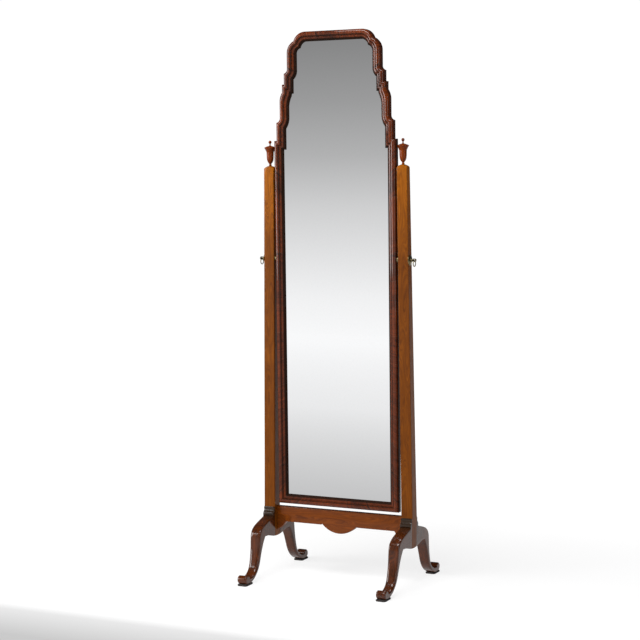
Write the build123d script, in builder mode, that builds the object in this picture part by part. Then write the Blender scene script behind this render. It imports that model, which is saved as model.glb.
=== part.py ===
from build123d import *
import os
from math import radians, sqrt, tan

# Cheval mirror on a two-ended stand. The looking-glass faces -Y, X runs along its width and Z is up.
# The origin is on the floor, at the centre of the stand. All sizes are in millimetres.

os.makedirs("parts", exist_ok=True)

# Whole object
overall_height = 1700.0
pivot_height = 1002.0
joint_gap = 0.1
turning_gap = 0.05
end_gap = 1.0
cut_margin = 20.0

# Posts: two tapered uprights that lean a little towards each other
post_bottom = 120.0
post_top = 1282.0
post_outer_bottom = 256.7
post_outer_top = 243.0
post_width_bottom = 37.2
post_width_top = 33.5
post_depth_bottom = 37.2
post_depth_top = 24.0
post_edge_radius = 1.0
dome_radius = 28.0
dome_rise = 9.0

# Finials: small covered urns turned in one piece with a peg
finial_height = 78.5
finial_rim_radius = 18.3
finial_rim_rise = 55.0
finial_rim_edge = 1.8
finial_flare_rise = 13.5
finial_flare_bend = 4.0
finial_lid_rise = 5.2
finial_body_radius = 11.2
finial_body_start = 7.0
finial_body_swell = 15.0
finial_body_share = 0.83
finial_lid_share = 0.75
finial_neck_radius = 3.5
finial_collar_radius = 4.2
finial_collar_height = 2.0
finial_stem_radius = 2.0
finial_knob_radius = 4.9
peg_radius = 3.0
peg_length = 20.0

# Legs: side outlines, measured outwards from the middle of the stand and up from the floor
leg_top = 214.0
belly_radius = 150.0
belly_reach = 50.0
arch_corner = (81.0, 131.0)
bead_reach = 21.0
bead_height = 3.2
cove_reach = 25.0
cove_bottom = 198.0
ovolo_reach = 28.3
ovolo_bottom = 186.5
quirk_height = 185.0
quirk_depth = 1.2
quirk_fall = 0.6
cove_hollow = 1.4
cove_sag = 1.0
knee_curve = ((38.0, 181.4), (62.0, 175.0), (90.0, 166.4), (108.5, 155.5), (117.6, 141.5), (120.8, 124.0))
shin_curve = ((124.5, 100.0), (131.0, 73.0), (138.5, 50.0), (147.0, 36.0), (160.0, 26.0), (175.0, 20.5))
calf_curve = ((155.0, 13.5), (134.0, 28.5), (119.0, 48.5), (110.0, 71.5), (102.0, 93.5), (92.5, 113.0))
leg_foot_outer = 249.8
leg_foot_inner = 219.2
leg_edge_share = 0.13
toe_radius = 13.0
toe_centre = 201.0
toe_edge_share = 0.16
toe_crease_rise = 2.0
toe_crease_reach = 1.0
sole_start = 178.0

# Pads under the feet
pad_width = 32.8
pad_length = 47.8
pad_thickness = 5.0
pad_centre_x = 234.2
pad_centre_y = 190.7
pad_corner_radius = 7.0

# Dowels that hold the legs to the posts
dowel_radius = 4.0
dowel_in_leg = 28.0
dowel_in_post = 13.0
dowel_inset = 11.0
dowel_heights = (146.0, 170.0)

# Stretcher: a shaped board tenoned into both posts
stretcher_top = 214.5
stretcher_height = 48.0
stretcher_front = -3.2
stretcher_thickness = 19.5
bracket_drop = 28.0
bracket_length = 31.0
bracket_sag = 5.0
pendant_half_width = 59.0
pendant_drop = 24.0
cusp_rise = 2.5
cusp_width = 4.0
tenon_length = 16.0
tenon_thickness = 10.0
tenon_shoulder = 7.0

# Mirror frame: its face, its rebate and the joints between its six lengths
frame_half_width = 206.0
frame_bottom = 227.0
frame_front = -16.5
frame_back = 9.0
side_front = -8.5
face_width = 29.8
rebate_front = -0.5
rebate_share = 0.68
joint_overshoot = 2.0

# Crest, from the end of the straight top down to the shoulder. Each row gives the end of a run as
# (inset from the frame's side, drop from its top), at the outer edge and at the sight edge, and then
# a middle point of each, where the run is an arc.
crest_rows = (
    ((109.4, 0.0), (109.3, 30.0), None, None),
    ((71.4, 27.0), (91.8, 49.0), (86.8, 7.0), (99.3, 35.5)),
    ((47.6, 64.0), (78.0, 66.0), (55.6, 40.0), (82.4, 54.5)),
    ((47.6, 110.0), (78.0, 115.0), None, None),
    ((36.4, 125.5), (65.8, 144.0), (43.8, 121.5), (74.7, 132.5)),
    ((36.4, 159.0), (65.6, 187.0), None, None),
    ((29.5, 159.0), (59.5, 188.0), None, None),
    ((29.5, 183.0), (58.5, 195.0), None, None),
    ((20.6, 209.0), (49.4, 226.0), (23.8, 194.5), (52.4, 210.0)),
    ((20.6, 261.0), (49.4, 262.0), None, None),
    ((8.2, 276.0), (38.0, 295.0), (16.2, 272.0), (45.6, 281.0)),
    ((8.2, 332.0), (38.0, 359.5), None, None),
    ((0.0, 332.0), (face_width, 359.5), None, None),
)

# Moulding section, as (share of the face that has been crossed from the outer edge, depth):
# a flat side, a broad round, a quirk and a smaller round that runs down to the sight edge
outer_flank = ((0.0, side_front), (0.03, -11.6), (0.10, -14.4), (0.19, -16.0), (0.29, frame_front))
inner_flank = ((0.31, frame_front), (0.42, -15.5), (0.51, -13.2), (0.56, -11.0), (0.62, -10.8))
sight_round = ((0.74, -9.7), (0.86, -7.1), (0.95, -4.0), (1.0, -1.7))

# Glass and back
glass_front = -1.0
glass_thickness = 4.0
glass_share = 0.72
bevel_share = 1.40
bevel_depth = 1.0
backboard_thickness = 4.0
backboard_share = 0.30
block_width = 7.0
block_length = 30.0
block_heights = (330.0, 560.0, 790.0, 1020.0, 1250.0)
block_offsets = (-100.0, 0.0, 100.0)
board_screw_radius = 1.5
board_screw_head_radius = 3.0
board_screw_length = 13.0
board_screw_share = 0.49
board_screw_heights = (300.0, 510.0, 720.0, 930.0, 1140.0, 1330.0)
board_screw_offsets = (-110.0, 0.0, 110.0)
board_screw_top_offsets = (-70.0, 70.0)
board_screw_crest_rows = (3, 9)
countersink_angle = 82.0

# Brass fittings on the pivot line
shank_radius = 3.5
bush_radius = 6.0
bush_setback = 0.2
rose_radius = 16.0
rose_seat = 246.0
rose_rim = 1.0
rose_crown = 3.8
rose_crown_radius = 6.5
rose_swell = 0.35
rose_pin_radius = 0.8
rose_pin_head_radius = 1.7
rose_pin_head_height = 0.9
rose_pin_seat = 1.3
rose_pin_length = 9.0
rose_pin_offset = 12.0
spacer_radius = 10.0
spacer_seat = 212.2
seat_margin = 0.3
screw_collar_radius = 5.4
screw_collar_length = 2.0
screw_neck_radius = 3.2
screw_neck_length = 3.2
screw_head_radius = 5.3
screw_head_length = 11.0
screw_head_edge = 2.2
screw_reach = 12.0
eye_radius = 2.2
eye_mouth_radius = 3.7
eye_throat = 1.2
ring_radius = 9.0
ring_wire_radius = 1.4
ring_drop = 0.6
socket_boss_radius = 5.5
socket_boss_length = 14.0
socket_plate_width = 9.0
socket_plate_height = 44.0
socket_plate_thickness = 2.0
socket_screw_radius = 1.4
socket_screw_head_radius = 2.6
socket_screw_length = 13.0
socket_screw_offset = 15.0


def save(builder, name):
    """Labels a finished piece and writes it."""
    builder.part.label = name
    export_step(builder.part, f"parts/{name}.step")


def taper(height, low, high):
    """A post's size at a height, from its sizes at the bottom and at the top."""
    return low + (high - low) * (height - post_bottom) / (post_top - post_bottom)


def post_outer(height):
    """Distance of a post's outer face from the middle of the stand."""
    return taper(height, post_outer_bottom, post_outer_top)


def post_inner(height):
    """Distance of a post's inner face from the middle of the stand."""
    return post_outer(height) - taper(height, post_width_bottom, post_width_top)


def post_half_depth(height):
    """Half of a post's size from front to back."""
    return taper(height, post_depth_bottom, post_depth_top) / 2


def belly(reach):
    """Height of the shallow rounded underside at a distance from the middle of the stand."""
    return post_bottom + belly_radius - sqrt(belly_radius**2 - reach**2)


post_centre_top = (post_outer(post_top) + post_inner(post_top)) / 2
dome_apex = post_top + dome_rise
leg_face_bottom = belly(post_half_depth(post_bottom))
stretcher_middle = stretcher_front + stretcher_thickness / 2
stretcher_centre_height = stretcher_top - stretcher_height / 2
tenon_height = stretcher_height - 2 * tenon_shoulder
rose_front = rose_seat + rose_crown
head_start = rose_front + joint_gap + screw_collar_length + screw_neck_length
head_end = head_start + screw_head_length
eye_x = (head_start + head_end) / 2
ring_hang = pivot_height - ring_drop
ring_centre_height = ring_hang - ring_radius


def sink_depth(head_radius, screw_radius):
    """Height of a countersunk screw head."""
    return (head_radius - screw_radius) / tan(radians(countersink_angle / 2))


pivot_line = Axis((0, 0, pivot_height), (1, 0, 0))
across_pivot = Plane(origin=(0, 0, pivot_height), x_dir=(0, 1, 0), z_dir=(1, 0, 0))
along_pivot = Plane.XZ.shift_origin((0, 0, pivot_height))
bore_radius = shank_radius + turning_gap
ON_TOP = (Align.CENTER, Align.CENTER, Align.MAX)
BACKWARDS = (0, 1, 0)


# Right post: a four-sided taper with a turned dome and a rounded underside. It has a mortise for the
# stretcher, a bore for the pivot bush, flat seats for the rose and the spacer, and holes for pegs
with BuildPart() as right_upright:
    for level in (post_bottom - cut_margin, post_top + cut_margin):
        with BuildSketch(Plane.XY.offset(level)):
            with Locations(((post_outer(level) + post_inner(level)) / 2, 0)):
                Rectangle(post_outer(level) - post_inner(level), 2 * post_half_depth(level))
    loft(ruled=True)
    fillet(right_upright.edges().filter_by(lambda e: e.length > post_top - post_bottom), post_edge_radius)
    with BuildSketch(Plane.XZ.shift_origin((post_centre_top, 0, 0))):
        with BuildLine():
            Polyline(
                (0, dome_apex),
                (0, 0),
                (4 * dome_radius, 0),
                (4 * dome_radius, dome_apex - dome_radius),
                (dome_radius, dome_apex - dome_radius),
            )
            RadiusArc((dome_radius, dome_apex - dome_radius), (0, dome_apex), -dome_radius)
        make_face()
    revolve(axis=Axis((post_centre_top, 0, 0), (0, 0, 1)), mode=Mode.INTERSECT)
    with BuildSketch(Plane.YZ):
        with BuildLine():
            belly_end = belly(belly_reach)
            ThreePointArc((-belly_reach, belly_end), (0, post_bottom), (belly_reach, belly_end))
            Polyline(
                (belly_reach, belly(belly_reach)),
                (belly_reach, overall_height),
                (-belly_reach, overall_height),
                (-belly_reach, belly(belly_reach)),
            )
        make_face()
    extrude(amount=2 * post_outer_bottom, mode=Mode.INTERSECT)
    with BuildSketch(Plane.XZ):
        Polygon(
            (post_outer(leg_top), leg_top),
            (2 * leg_foot_outer, leg_top),
            (2 * leg_foot_outer, 0),
            (leg_foot_outer, 0),
            align=None,
        )
    extrude(amount=post_depth_bottom, both=True, mode=Mode.SUBTRACT)
    with BuildSketch(Plane.YZ.offset(post_inner(stretcher_top))):
        with Locations((stretcher_middle, stretcher_centre_height)):
            Rectangle(tenon_thickness + 2 * joint_gap, tenon_height + 2 * joint_gap)
    extrude(amount=tenon_length + end_gap, both=True, mode=Mode.SUBTRACT)
    with BuildSketch(across_pivot):
        Circle(bush_radius + turning_gap)
    extrude(amount=2 * post_outer_bottom, mode=Mode.SUBTRACT)
    with BuildSketch(across_pivot.offset(rose_seat)):
        Circle(rose_radius + seat_margin)
    extrude(amount=cut_margin, mode=Mode.SUBTRACT)
    with BuildSketch(across_pivot.offset(spacer_seat)):
        Circle(spacer_radius + seat_margin)
    extrude(amount=-cut_margin, mode=Mode.SUBTRACT)
    with BuildSketch(across_pivot.offset(rose_seat)):
        with Locations((0, rose_pin_offset), (0, -rose_pin_offset)):
            Circle(rose_pin_radius + turning_gap)
    extrude(amount=-rose_pin_length - joint_gap, mode=Mode.SUBTRACT)
    with BuildSketch(Plane.XY.offset(dome_apex)):
        with Locations((post_centre_top, 0)):
            Circle(peg_radius + joint_gap)
    extrude(amount=-peg_length - end_gap, mode=Mode.SUBTRACT)
    for height in dowel_heights:
        for side in (-1, 1):
            with BuildSketch(Plane.XZ.offset(-side * (post_half_depth(height) + end_gap))):
                with Locations((post_outer(height) - dowel_inset, height)):
                    Circle(dowel_radius + joint_gap)
            extrude(amount=side * (dowel_in_post + 2 * end_gap), mode=Mode.SUBTRACT)
save(right_upright, "right_upright")

with BuildPart() as left_upright:
    mirror(right_upright.part, about=Plane.YZ)
save(left_upright, "left_upright")


# Right finial: a turned urn with a wide rim, a low lid, a thin stem and a knob
with BuildPart() as right_finial:
    body_start = dome_apex + finial_body_start
    rim_height = dome_apex + finial_rim_rise
    flare_start = rim_height - finial_flare_rise
    lid_edge = rim_height + finial_rim_edge
    lid_top = lid_edge + finial_lid_rise
    knob_height = dome_apex + finial_height - finial_knob_radius
    knob_start = knob_height - sqrt(finial_knob_radius**2 - finial_stem_radius**2)
    with BuildSketch(Plane.XZ.shift_origin((post_centre_top, 0, 0))):
        with BuildLine():
            Polyline(
                (0, dome_apex - peg_length),
                (peg_radius, dome_apex - peg_length),
                (peg_radius, dome_apex),
                (finial_collar_radius, dome_apex),
                (finial_collar_radius, dome_apex + finial_collar_height),
                (finial_neck_radius, dome_apex + finial_collar_height + joint_gap),
                (finial_neck_radius, body_start),
            )
            Spline(
                (finial_neck_radius, body_start),
                (finial_body_share * finial_body_radius, dome_apex + finial_body_swell),
                (finial_body_radius, flare_start),
                tangents=((1, 0.25), (0, 1)),
            )
            ThreePointArc(
                (finial_body_radius, flare_start),
                (finial_body_radius + finial_flare_bend, rim_height - finial_flare_rise / 3),
                (finial_rim_radius, rim_height),
            )
            Line((finial_rim_radius, rim_height), (finial_rim_radius, lid_edge))
            ThreePointArc(
                (finial_rim_radius, lid_edge),
                (finial_rim_radius / 2, lid_edge + finial_lid_share * finial_lid_rise),
                (finial_stem_radius, lid_top),
            )
            Line((finial_stem_radius, lid_top), (finial_stem_radius, knob_start))
            ThreePointArc(
                (finial_stem_radius, knob_start),
                (finial_knob_radius, knob_height),
                (0, knob_height + finial_knob_radius),
            )
            Line((0, knob_height + finial_knob_radius), (0, dome_apex - peg_length))
        make_face()
    revolve(axis=Axis((post_centre_top, 0, 0), (0, 0, 1)))
save(right_finial, "right_finial")

with BuildPart() as left_finial:
    mirror(right_finial.part, about=Plane.YZ)
save(left_finial, "left_finial")


# Front right leg: a side outline cut from a thick board, its long edges rounded, with a rolled toe
with BuildPart() as front_right_leg:
    foot_width = leg_foot_outer - leg_foot_inner
    bead_centre = bead_reach - bead_height / 2
    face_top = post_half_depth(leg_top)
    face_bottom = post_half_depth(leg_face_bottom)
    knee_start = (ovolo_reach, quirk_height - quirk_fall)
    toe_crease = (toe_centre - toe_radius + toe_crease_reach, toe_radius + pad_thickness + toe_crease_rise)
    with BuildSketch(Plane.YZ.offset(leg_foot_inner - cut_margin)):
        with BuildLine():
            Line((-face_top, leg_top), (-bead_centre, leg_top))
            ThreePointArc(
                (-bead_centre, leg_top),
                (-bead_reach, leg_top - bead_height / 2),
                (-bead_centre, leg_top - bead_height),
            )
            ThreePointArc(
                (-bead_centre, leg_top - bead_height),
                (-bead_centre - cove_hollow, (leg_top - bead_height + cove_bottom) / 2 - cove_sag),
                (-cove_reach, cove_bottom),
            )
            ThreePointArc(
                (-cove_reach, cove_bottom),
                (-ovolo_reach, (cove_bottom + ovolo_bottom) / 2),
                (-ovolo_reach + quirk_depth, ovolo_bottom),
            )
            Polyline(
                (-ovolo_reach + quirk_depth, ovolo_bottom),
                (-ovolo_reach + 2 * quirk_depth, quirk_height),
                (-knee_start[0], knee_start[1]),
            )
            front_points = (knee_start, *knee_curve, *shin_curve, toe_crease)
            Spline(*[(-reach, height) for reach, height in front_points])
            Polyline(
                (-toe_crease[0], toe_crease[1]),
                (-toe_centre, toe_crease[1]),
                (-toe_centre, pad_thickness),
                (-sole_start, pad_thickness),
            )
            calf_points = ((sole_start, pad_thickness), *calf_curve, arch_corner)
            Spline(*[(-reach, height) for reach, height in calf_points])
            Line((-arch_corner[0], arch_corner[1]), (-belly_reach, belly(belly_reach)))
            ThreePointArc(
                (-belly_reach, belly(belly_reach)),
                (-(belly_reach + face_bottom) / 2, belly((belly_reach + face_bottom) / 2)),
                (-face_bottom, belly(face_bottom)),
            )
            Line((-face_bottom, belly(face_bottom)), (-face_top, leg_top))
        make_face()
    extrude(amount=2 * cut_margin + post_outer_bottom - leg_foot_inner)
    with BuildSketch(Plane.XZ):
        Polygon(
            (post_inner(leg_top), leg_top),
            (post_outer(leg_top), leg_top),
            (leg_foot_outer, 0),
            (leg_foot_inner, 0),
            align=None,
        )
    extrude(amount=toe_centre + cut_margin, mode=Mode.INTERSECT)
    fillet(front_right_leg.edges().filter_by(GeomType.BSPLINE), leg_edge_share * foot_width)
    with BuildSketch(Plane.XY.offset(pad_thickness + toe_radius)):
        with Locations(((leg_foot_inner + leg_foot_outer) / 2, -toe_centre)):
            RectangleRounded(foot_width, 2 * toe_radius, toe_edge_share * foot_width)
            Rectangle(leg_foot_outer, 2 * toe_radius, align=(Align.CENTER, Align.MAX), mode=Mode.SUBTRACT)
    revolve(axis=Axis((0, -toe_centre, pad_thickness + toe_radius), (1, 0, 0)))
    for height in dowel_heights:
        with BuildSketch(Plane.XZ.offset(post_half_depth(height) - end_gap)):
            with Locations((post_outer(height) - dowel_inset, height)):
                Circle(dowel_radius + joint_gap)
        extrude(amount=dowel_in_leg + 2 * end_gap, mode=Mode.SUBTRACT)
save(front_right_leg, "front_right_leg")

with BuildPart() as back_right_leg:
    mirror(front_right_leg.part, about=Plane.XZ)
save(back_right_leg, "back_right_leg")

with BuildPart() as front_left_leg:
    mirror(front_right_leg.part, about=Plane.YZ)
save(front_left_leg, "front_left_leg")

with BuildPart() as back_left_leg:
    mirror(back_right_leg.part, about=Plane.YZ)
save(back_left_leg, "back_left_leg")


# Pads: a thin flat pad under each foot
for side_x, side_name in ((-1, "left"), (1, "right")):
    for side_y, end_name in ((-1, "front"), (1, "back")):
        with BuildPart() as pad:
            with BuildSketch():
                with Locations((side_x * pad_centre_x, side_y * pad_centre_y)):
                    RectangleRounded(pad_width, pad_length, pad_corner_radius)
            extrude(amount=pad_thickness)
        save(pad, f"{end_name}_{side_name}_pad")


# Leg dowels: two for each leg, from the post into the leg
with BuildPart() as leg_dowels:
    for height in dowel_heights:
        dowel_length = dowel_in_post + dowel_in_leg
        dowel_middle = post_half_depth(height) + (dowel_in_leg - dowel_in_post) / 2
        for side_x in (-1, 1):
            for side_y in (-1, 1):
                dowel_x = side_x * (post_outer(height) - dowel_inset)
                with Locations(Location((dowel_x, side_y * dowel_middle, height))):
                    Cylinder(dowel_radius, dowel_length, rotation=(90, 0, 0))
save(leg_dowels, "leg_dowels")


# Stretcher: straight on top, with a bracket at each end and a round pendant in the middle
with BuildPart() as stretcher:
    straight_bottom = stretcher_top - stretcher_height
    bracket_tip = straight_bottom - bracket_drop
    bracket_end = post_inner(straight_bottom) - bracket_length
    bracket_middle_x = (post_inner(bracket_tip) + bracket_end) / 2
    bracket_middle_height = (bracket_tip + straight_bottom) / 2 - bracket_sag
    with BuildSketch(Plane.XZ.offset(-stretcher_front)):
        with BuildLine():
            Line((-post_inner(stretcher_top), stretcher_top), (post_inner(stretcher_top), stretcher_top))
            for side in (-1, 1):
                Line(
                    (side * post_inner(stretcher_top), stretcher_top),
                    (side * post_inner(bracket_tip), bracket_tip),
                )
                ThreePointArc(
                    (side * post_inner(bracket_tip), bracket_tip),
                    (side * bracket_middle_x, bracket_middle_height),
                    (side * bracket_end, straight_bottom),
                )
                Polyline(
                    (side * bracket_end, straight_bottom),
                    (side * (pendant_half_width + cusp_width), straight_bottom),
                    (side * pendant_half_width, straight_bottom + cusp_rise),
                )
            ThreePointArc(
                (-pendant_half_width, straight_bottom + cusp_rise),
                (0, straight_bottom - pendant_drop),
                (pendant_half_width, straight_bottom + cusp_rise),
            )
        make_face()
    extrude(amount=-stretcher_thickness)
    with BuildSketch(Plane.YZ):
        with Locations((stretcher_middle, stretcher_centre_height)):
            Rectangle(tenon_thickness, tenon_height)
    extrude(amount=post_inner(stretcher_top) + tenon_length, both=True)
save(stretcher, "stretcher")


def crest_point(outer, sight, share, side):
    """A point between the outer edge and the sight edge, on the right (1) or on the left (-1)."""
    inset = outer[0] + (sight[0] - outer[0]) * share
    drop = outer[1] + (sight[1] - outer[1]) * share
    return (side * (frame_half_width - inset), overall_height - drop)


def outline(depth, share):
    """The frame's outline at a depth, at a share of the way from its outer edge to its sight edge."""
    with BuildSketch(Plane.XZ.offset(-depth)) as shape:
        with BuildLine():
            top_outer, top_sight = crest_rows[0][0], crest_rows[0][1]
            Line(crest_point(top_outer, top_sight, share, -1), crest_point(top_outer, top_sight, share, 1))
            corner = (frame_half_width - face_width * share, frame_bottom + face_width * share)
            for side in (-1, 1):
                start = crest_point(top_outer, top_sight, share, side)
                for outer, sight, outer_middle, sight_middle in crest_rows[1:]:
                    end = crest_point(outer, sight, share, side)
                    if outer_middle:
                        ThreePointArc(start, crest_point(outer_middle, sight_middle, share, side), end)
                    else:
                        Line(start, end)
                    start = end
                Line(start, (side * corner[0], corner[1]))
            Line((-corner[0], corner[1]), corner)
        make_face()
    return shape.sketch


# Places of the backboard's screws, seen from behind
board_screw_inset = board_screw_share * face_width
board_plane = Plane(origin=(0, frame_back + backboard_thickness, 0), x_dir=(-1, 0, 0), z_dir=(0, 1, 0))
board_screw_points = [(x, frame_bottom + board_screw_inset) for x in board_screw_offsets]
board_screw_points += [(x, overall_height - board_screw_inset) for x in board_screw_top_offsets]
for side in (-1, 1):
    for height in board_screw_heights:
        board_screw_points.append((side * (frame_half_width - board_screw_inset), height))
    for row in board_screw_crest_rows:
        row_outer, row_sight = crest_rows[row][0], crest_rows[row][1]
        board_screw_points.append(crest_point(row_outer, row_sight, board_screw_share, side))


# Frame moulding as one ring, and then its six lengths
with BuildPart() as frame_opening:
    add(outline(frame_front - end_gap, inner_flank[0][0]))
    for share, depth in (*inner_flank, *sight_round):
        add(outline(depth, share))
    add(outline(rebate_front + end_gap, 1.0))
    loft(ruled=True)

with BuildPart() as frame_ring:
    add(outline(frame_back, 0.0))
    for share, depth in outer_flank:
        add(outline(depth, share))
    loft(ruled=True)
    add(frame_opening.part, mode=Mode.SUBTRACT)
    add(outline(rebate_front, rebate_share))
    extrude(amount=frame_back + end_gap - rebate_front, dir=BACKWARDS, mode=Mode.SUBTRACT)
    with BuildSketch(board_plane):
        with Locations(*board_screw_points):
            Circle(board_screw_radius + turning_gap)
    extrude(amount=-board_screw_length - joint_gap, mode=Mode.SUBTRACT)

notch_inner = crest_point(crest_rows[1][0], crest_rows[1][1], 1 + joint_overshoot, 1)
notch_outer = crest_point(crest_rows[1][0], crest_rows[1][1], -joint_overshoot, 1)
shoulder_inner = crest_point(crest_rows[-1][0], crest_rows[-1][1], 1 + joint_overshoot, 1)
shoulder_outer = crest_point(crest_rows[-1][0], crest_rows[-1][1], -joint_overshoot, 1)
mitre_inner = (frame_half_width - 2 * face_width, frame_bottom + 2 * face_width)
mitre_outer = (frame_half_width + face_width, frame_bottom - face_width)


def block_over(*points):
    """A block right through the frame, with these points as its front view."""
    with BuildPart() as block:
        with BuildSketch(Plane.XZ.offset(-frame_back - end_gap)):
            Polygon(*points, align=None)
        extrude(amount=frame_back - frame_front + 2 * end_gap)
    return block.part


top_block = block_over(
    notch_inner,
    notch_outer,
    (-notch_outer[0], notch_outer[1]),
    (-notch_inner[0], notch_inner[1]),
)
crest_block = block_over(
    notch_outer,
    (shoulder_outer[0], notch_outer[1]),
    shoulder_outer,
    shoulder_inner,
    notch_inner,
)
stile_block = block_over(mitre_inner, mitre_outer, shoulder_outer, shoulder_inner)
rail_block = block_over(
    mitre_inner,
    mitre_outer,
    (-mitre_outer[0], mitre_outer[1]),
    (-mitre_inner[0], mitre_inner[1]),
)

with BuildPart() as top_rail:
    add(frame_ring.part)
    add(top_block, mode=Mode.INTERSECT)
save(top_rail, "top_rail")

with BuildPart() as right_crest:
    add(frame_ring.part)
    add(crest_block, mode=Mode.INTERSECT)
save(right_crest, "right_crest")

with BuildPart() as left_crest:
    mirror(right_crest.part, about=Plane.YZ)
save(left_crest, "left_crest")

with BuildPart() as bottom_rail:
    add(frame_ring.part)
    add(rail_block, mode=Mode.INTERSECT)
save(bottom_rail, "bottom_rail")

with BuildPart() as right_stile:
    add(frame_ring.part)
    add(stile_block, mode=Mode.INTERSECT)
    with BuildSketch(across_pivot.offset(frame_half_width)):
        Rectangle(socket_plate_width + 2 * joint_gap, socket_plate_height + 2 * joint_gap)
    extrude(amount=-socket_plate_thickness, mode=Mode.SUBTRACT)
    with BuildSketch(across_pivot.offset(frame_half_width)):
        Circle(socket_boss_radius + joint_gap)
    extrude(amount=-socket_plate_thickness - socket_boss_length - joint_gap, mode=Mode.SUBTRACT)
    with BuildSketch(across_pivot.offset(frame_half_width)):
        with Locations((0, socket_screw_offset), (0, -socket_screw_offset)):
            Circle(socket_screw_radius + turning_gap)
    extrude(amount=-socket_screw_length - joint_gap, mode=Mode.SUBTRACT)
save(right_stile, "right_stile")

with BuildPart() as left_stile:
    mirror(right_stile.part, about=Plane.YZ)
save(left_stile, "left_stile")


# Glass: a plate in the frame's rebate, with a shallow bevel that starts under the sight edge
with BuildPart() as mirror_glass:
    add(outline(glass_front, bevel_share))
    add(outline(glass_front + bevel_depth, glass_share))
    loft(ruled=True)
    add(outline(glass_front + bevel_depth, glass_share))
    extrude(amount=glass_thickness - bevel_depth, dir=BACKWARDS)
save(mirror_glass, "mirror_glass")


# Blocks behind the glass, along the stiles and the bottom rail
with BuildPart() as glazing_blocks:
    block_inset = rebate_share * face_width + joint_gap + block_width / 2
    with BuildSketch(Plane.XZ.offset(-frame_back)):
        for side in (-1, 1):
            for height in block_heights:
                with Locations((side * (frame_half_width - block_inset), height)):
                    Rectangle(block_width, block_length)
        for offset_x in block_offsets:
            with Locations((offset_x, frame_bottom + block_inset)):
                Rectangle(block_length, block_width)
    extrude(amount=frame_back - glass_front - glass_thickness)
save(glazing_blocks, "glazing_blocks")


# Backboard, held by countersunk screws all round
with BuildPart() as backboard:
    add(outline(frame_back, backboard_share))
    extrude(amount=backboard_thickness, dir=BACKWARDS)
    with Locations(board_plane):
        with Locations(*board_screw_points):
            CounterSinkHole(
                board_screw_radius + turning_gap,
                board_screw_head_radius + turning_gap,
                counter_sink_angle=countersink_angle,
            )
save(backboard, "backboard")

with BuildPart() as backboard_screws:
    with Locations(board_plane):
        with Locations(*board_screw_points):
            Cone(
                board_screw_radius,
                board_screw_head_radius,
                sink_depth(board_screw_head_radius, board_screw_radius),
                align=ON_TOP,
            )
            Cylinder(board_screw_radius, board_screw_length, align=ON_TOP)
save(backboard_screws, "backboard_screws")


# Sockets: a plate with a boss, let into the side of each stile, that takes the end of a pivot screw
with BuildPart() as right_socket:
    with BuildSketch(across_pivot.offset(frame_half_width)):
        Rectangle(socket_plate_width, socket_plate_height)
    extrude(amount=-socket_plate_thickness)
    with BuildSketch(across_pivot.offset(frame_half_width - socket_plate_thickness)):
        Circle(socket_boss_radius)
    extrude(amount=-socket_boss_length)
    with BuildSketch(across_pivot.offset(frame_half_width)):
        Circle(bore_radius)
    extrude(amount=-socket_plate_thickness - socket_boss_length, mode=Mode.SUBTRACT)
    with Locations(across_pivot.offset(frame_half_width)):
        with Locations((0, socket_screw_offset), (0, -socket_screw_offset)):
            CounterSinkHole(
                socket_screw_radius + turning_gap,
                socket_screw_head_radius + turning_gap,
                counter_sink_angle=countersink_angle,
            )
save(right_socket, "right_socket")

with BuildPart() as left_socket:
    mirror(right_socket.part, about=Plane.YZ)
save(left_socket, "left_socket")

with BuildPart() as socket_screws:
    with Locations(across_pivot.offset(frame_half_width)):
        with Locations((0, socket_screw_offset), (0, -socket_screw_offset)):
            Cone(
                socket_screw_radius,
                socket_screw_head_radius,
                sink_depth(socket_screw_head_radius, socket_screw_radius),
                align=ON_TOP,
            )
            Cylinder(socket_screw_radius, socket_screw_length, align=ON_TOP)
    mirror(about=Plane.YZ)
save(socket_screws, "socket_screws")


# Spacers: a collar between each stile and its post, on the pivot line
with BuildPart() as right_spacer:
    with BuildSketch(across_pivot.offset(spacer_seat)):
        Circle(spacer_radius)
        Circle(bore_radius, mode=Mode.SUBTRACT)
    extrude(amount=frame_half_width + joint_gap - spacer_seat)
save(right_spacer, "right_spacer")

with BuildPart() as left_spacer:
    mirror(right_spacer.part, about=Plane.YZ)
save(left_spacer, "left_spacer")


# Bushes: a lining for the pivot bore of each post
with BuildPart() as right_bush:
    with BuildSketch(across_pivot.offset(spacer_seat + bush_setback)):
        Circle(bush_radius)
        Circle(bore_radius, mode=Mode.SUBTRACT)
    extrude(amount=rose_seat - spacer_seat - 2 * bush_setback)
save(right_bush, "right_bush")

with BuildPart() as left_bush:
    mirror(right_bush.part, about=Plane.YZ)
save(left_bush, "left_bush")


# Roses: a low turned disc on each post's outer face, with a flat centre for the screw's collar
with BuildPart() as right_rose:
    with BuildSketch(along_pivot):
        with BuildLine():
            Polyline(
                (rose_front, rose_crown_radius),
                (rose_front, bore_radius),
                (rose_seat, bore_radius),
                (rose_seat, rose_radius),
                (rose_seat + rose_rim, rose_radius),
            )
            ThreePointArc(
                (rose_seat + rose_rim, rose_radius),
                (rose_seat + (rose_rim + rose_crown) / 2 + rose_swell, (rose_radius + rose_crown_radius) / 2),
                (rose_front, rose_crown_radius),
            )
        make_face()
    revolve(axis=pivot_line)
    with Locations(across_pivot.offset(rose_front)):
        with Locations((0, rose_pin_offset), (0, -rose_pin_offset)):
            CounterBoreHole(
                rose_pin_radius + turning_gap,
                rose_pin_head_radius + turning_gap,
                rose_crown - rose_pin_seat,
            )
save(right_rose, "right_rose")

with BuildPart() as left_rose:
    mirror(right_rose.part, about=Plane.YZ)
save(left_rose, "left_rose")

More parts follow.
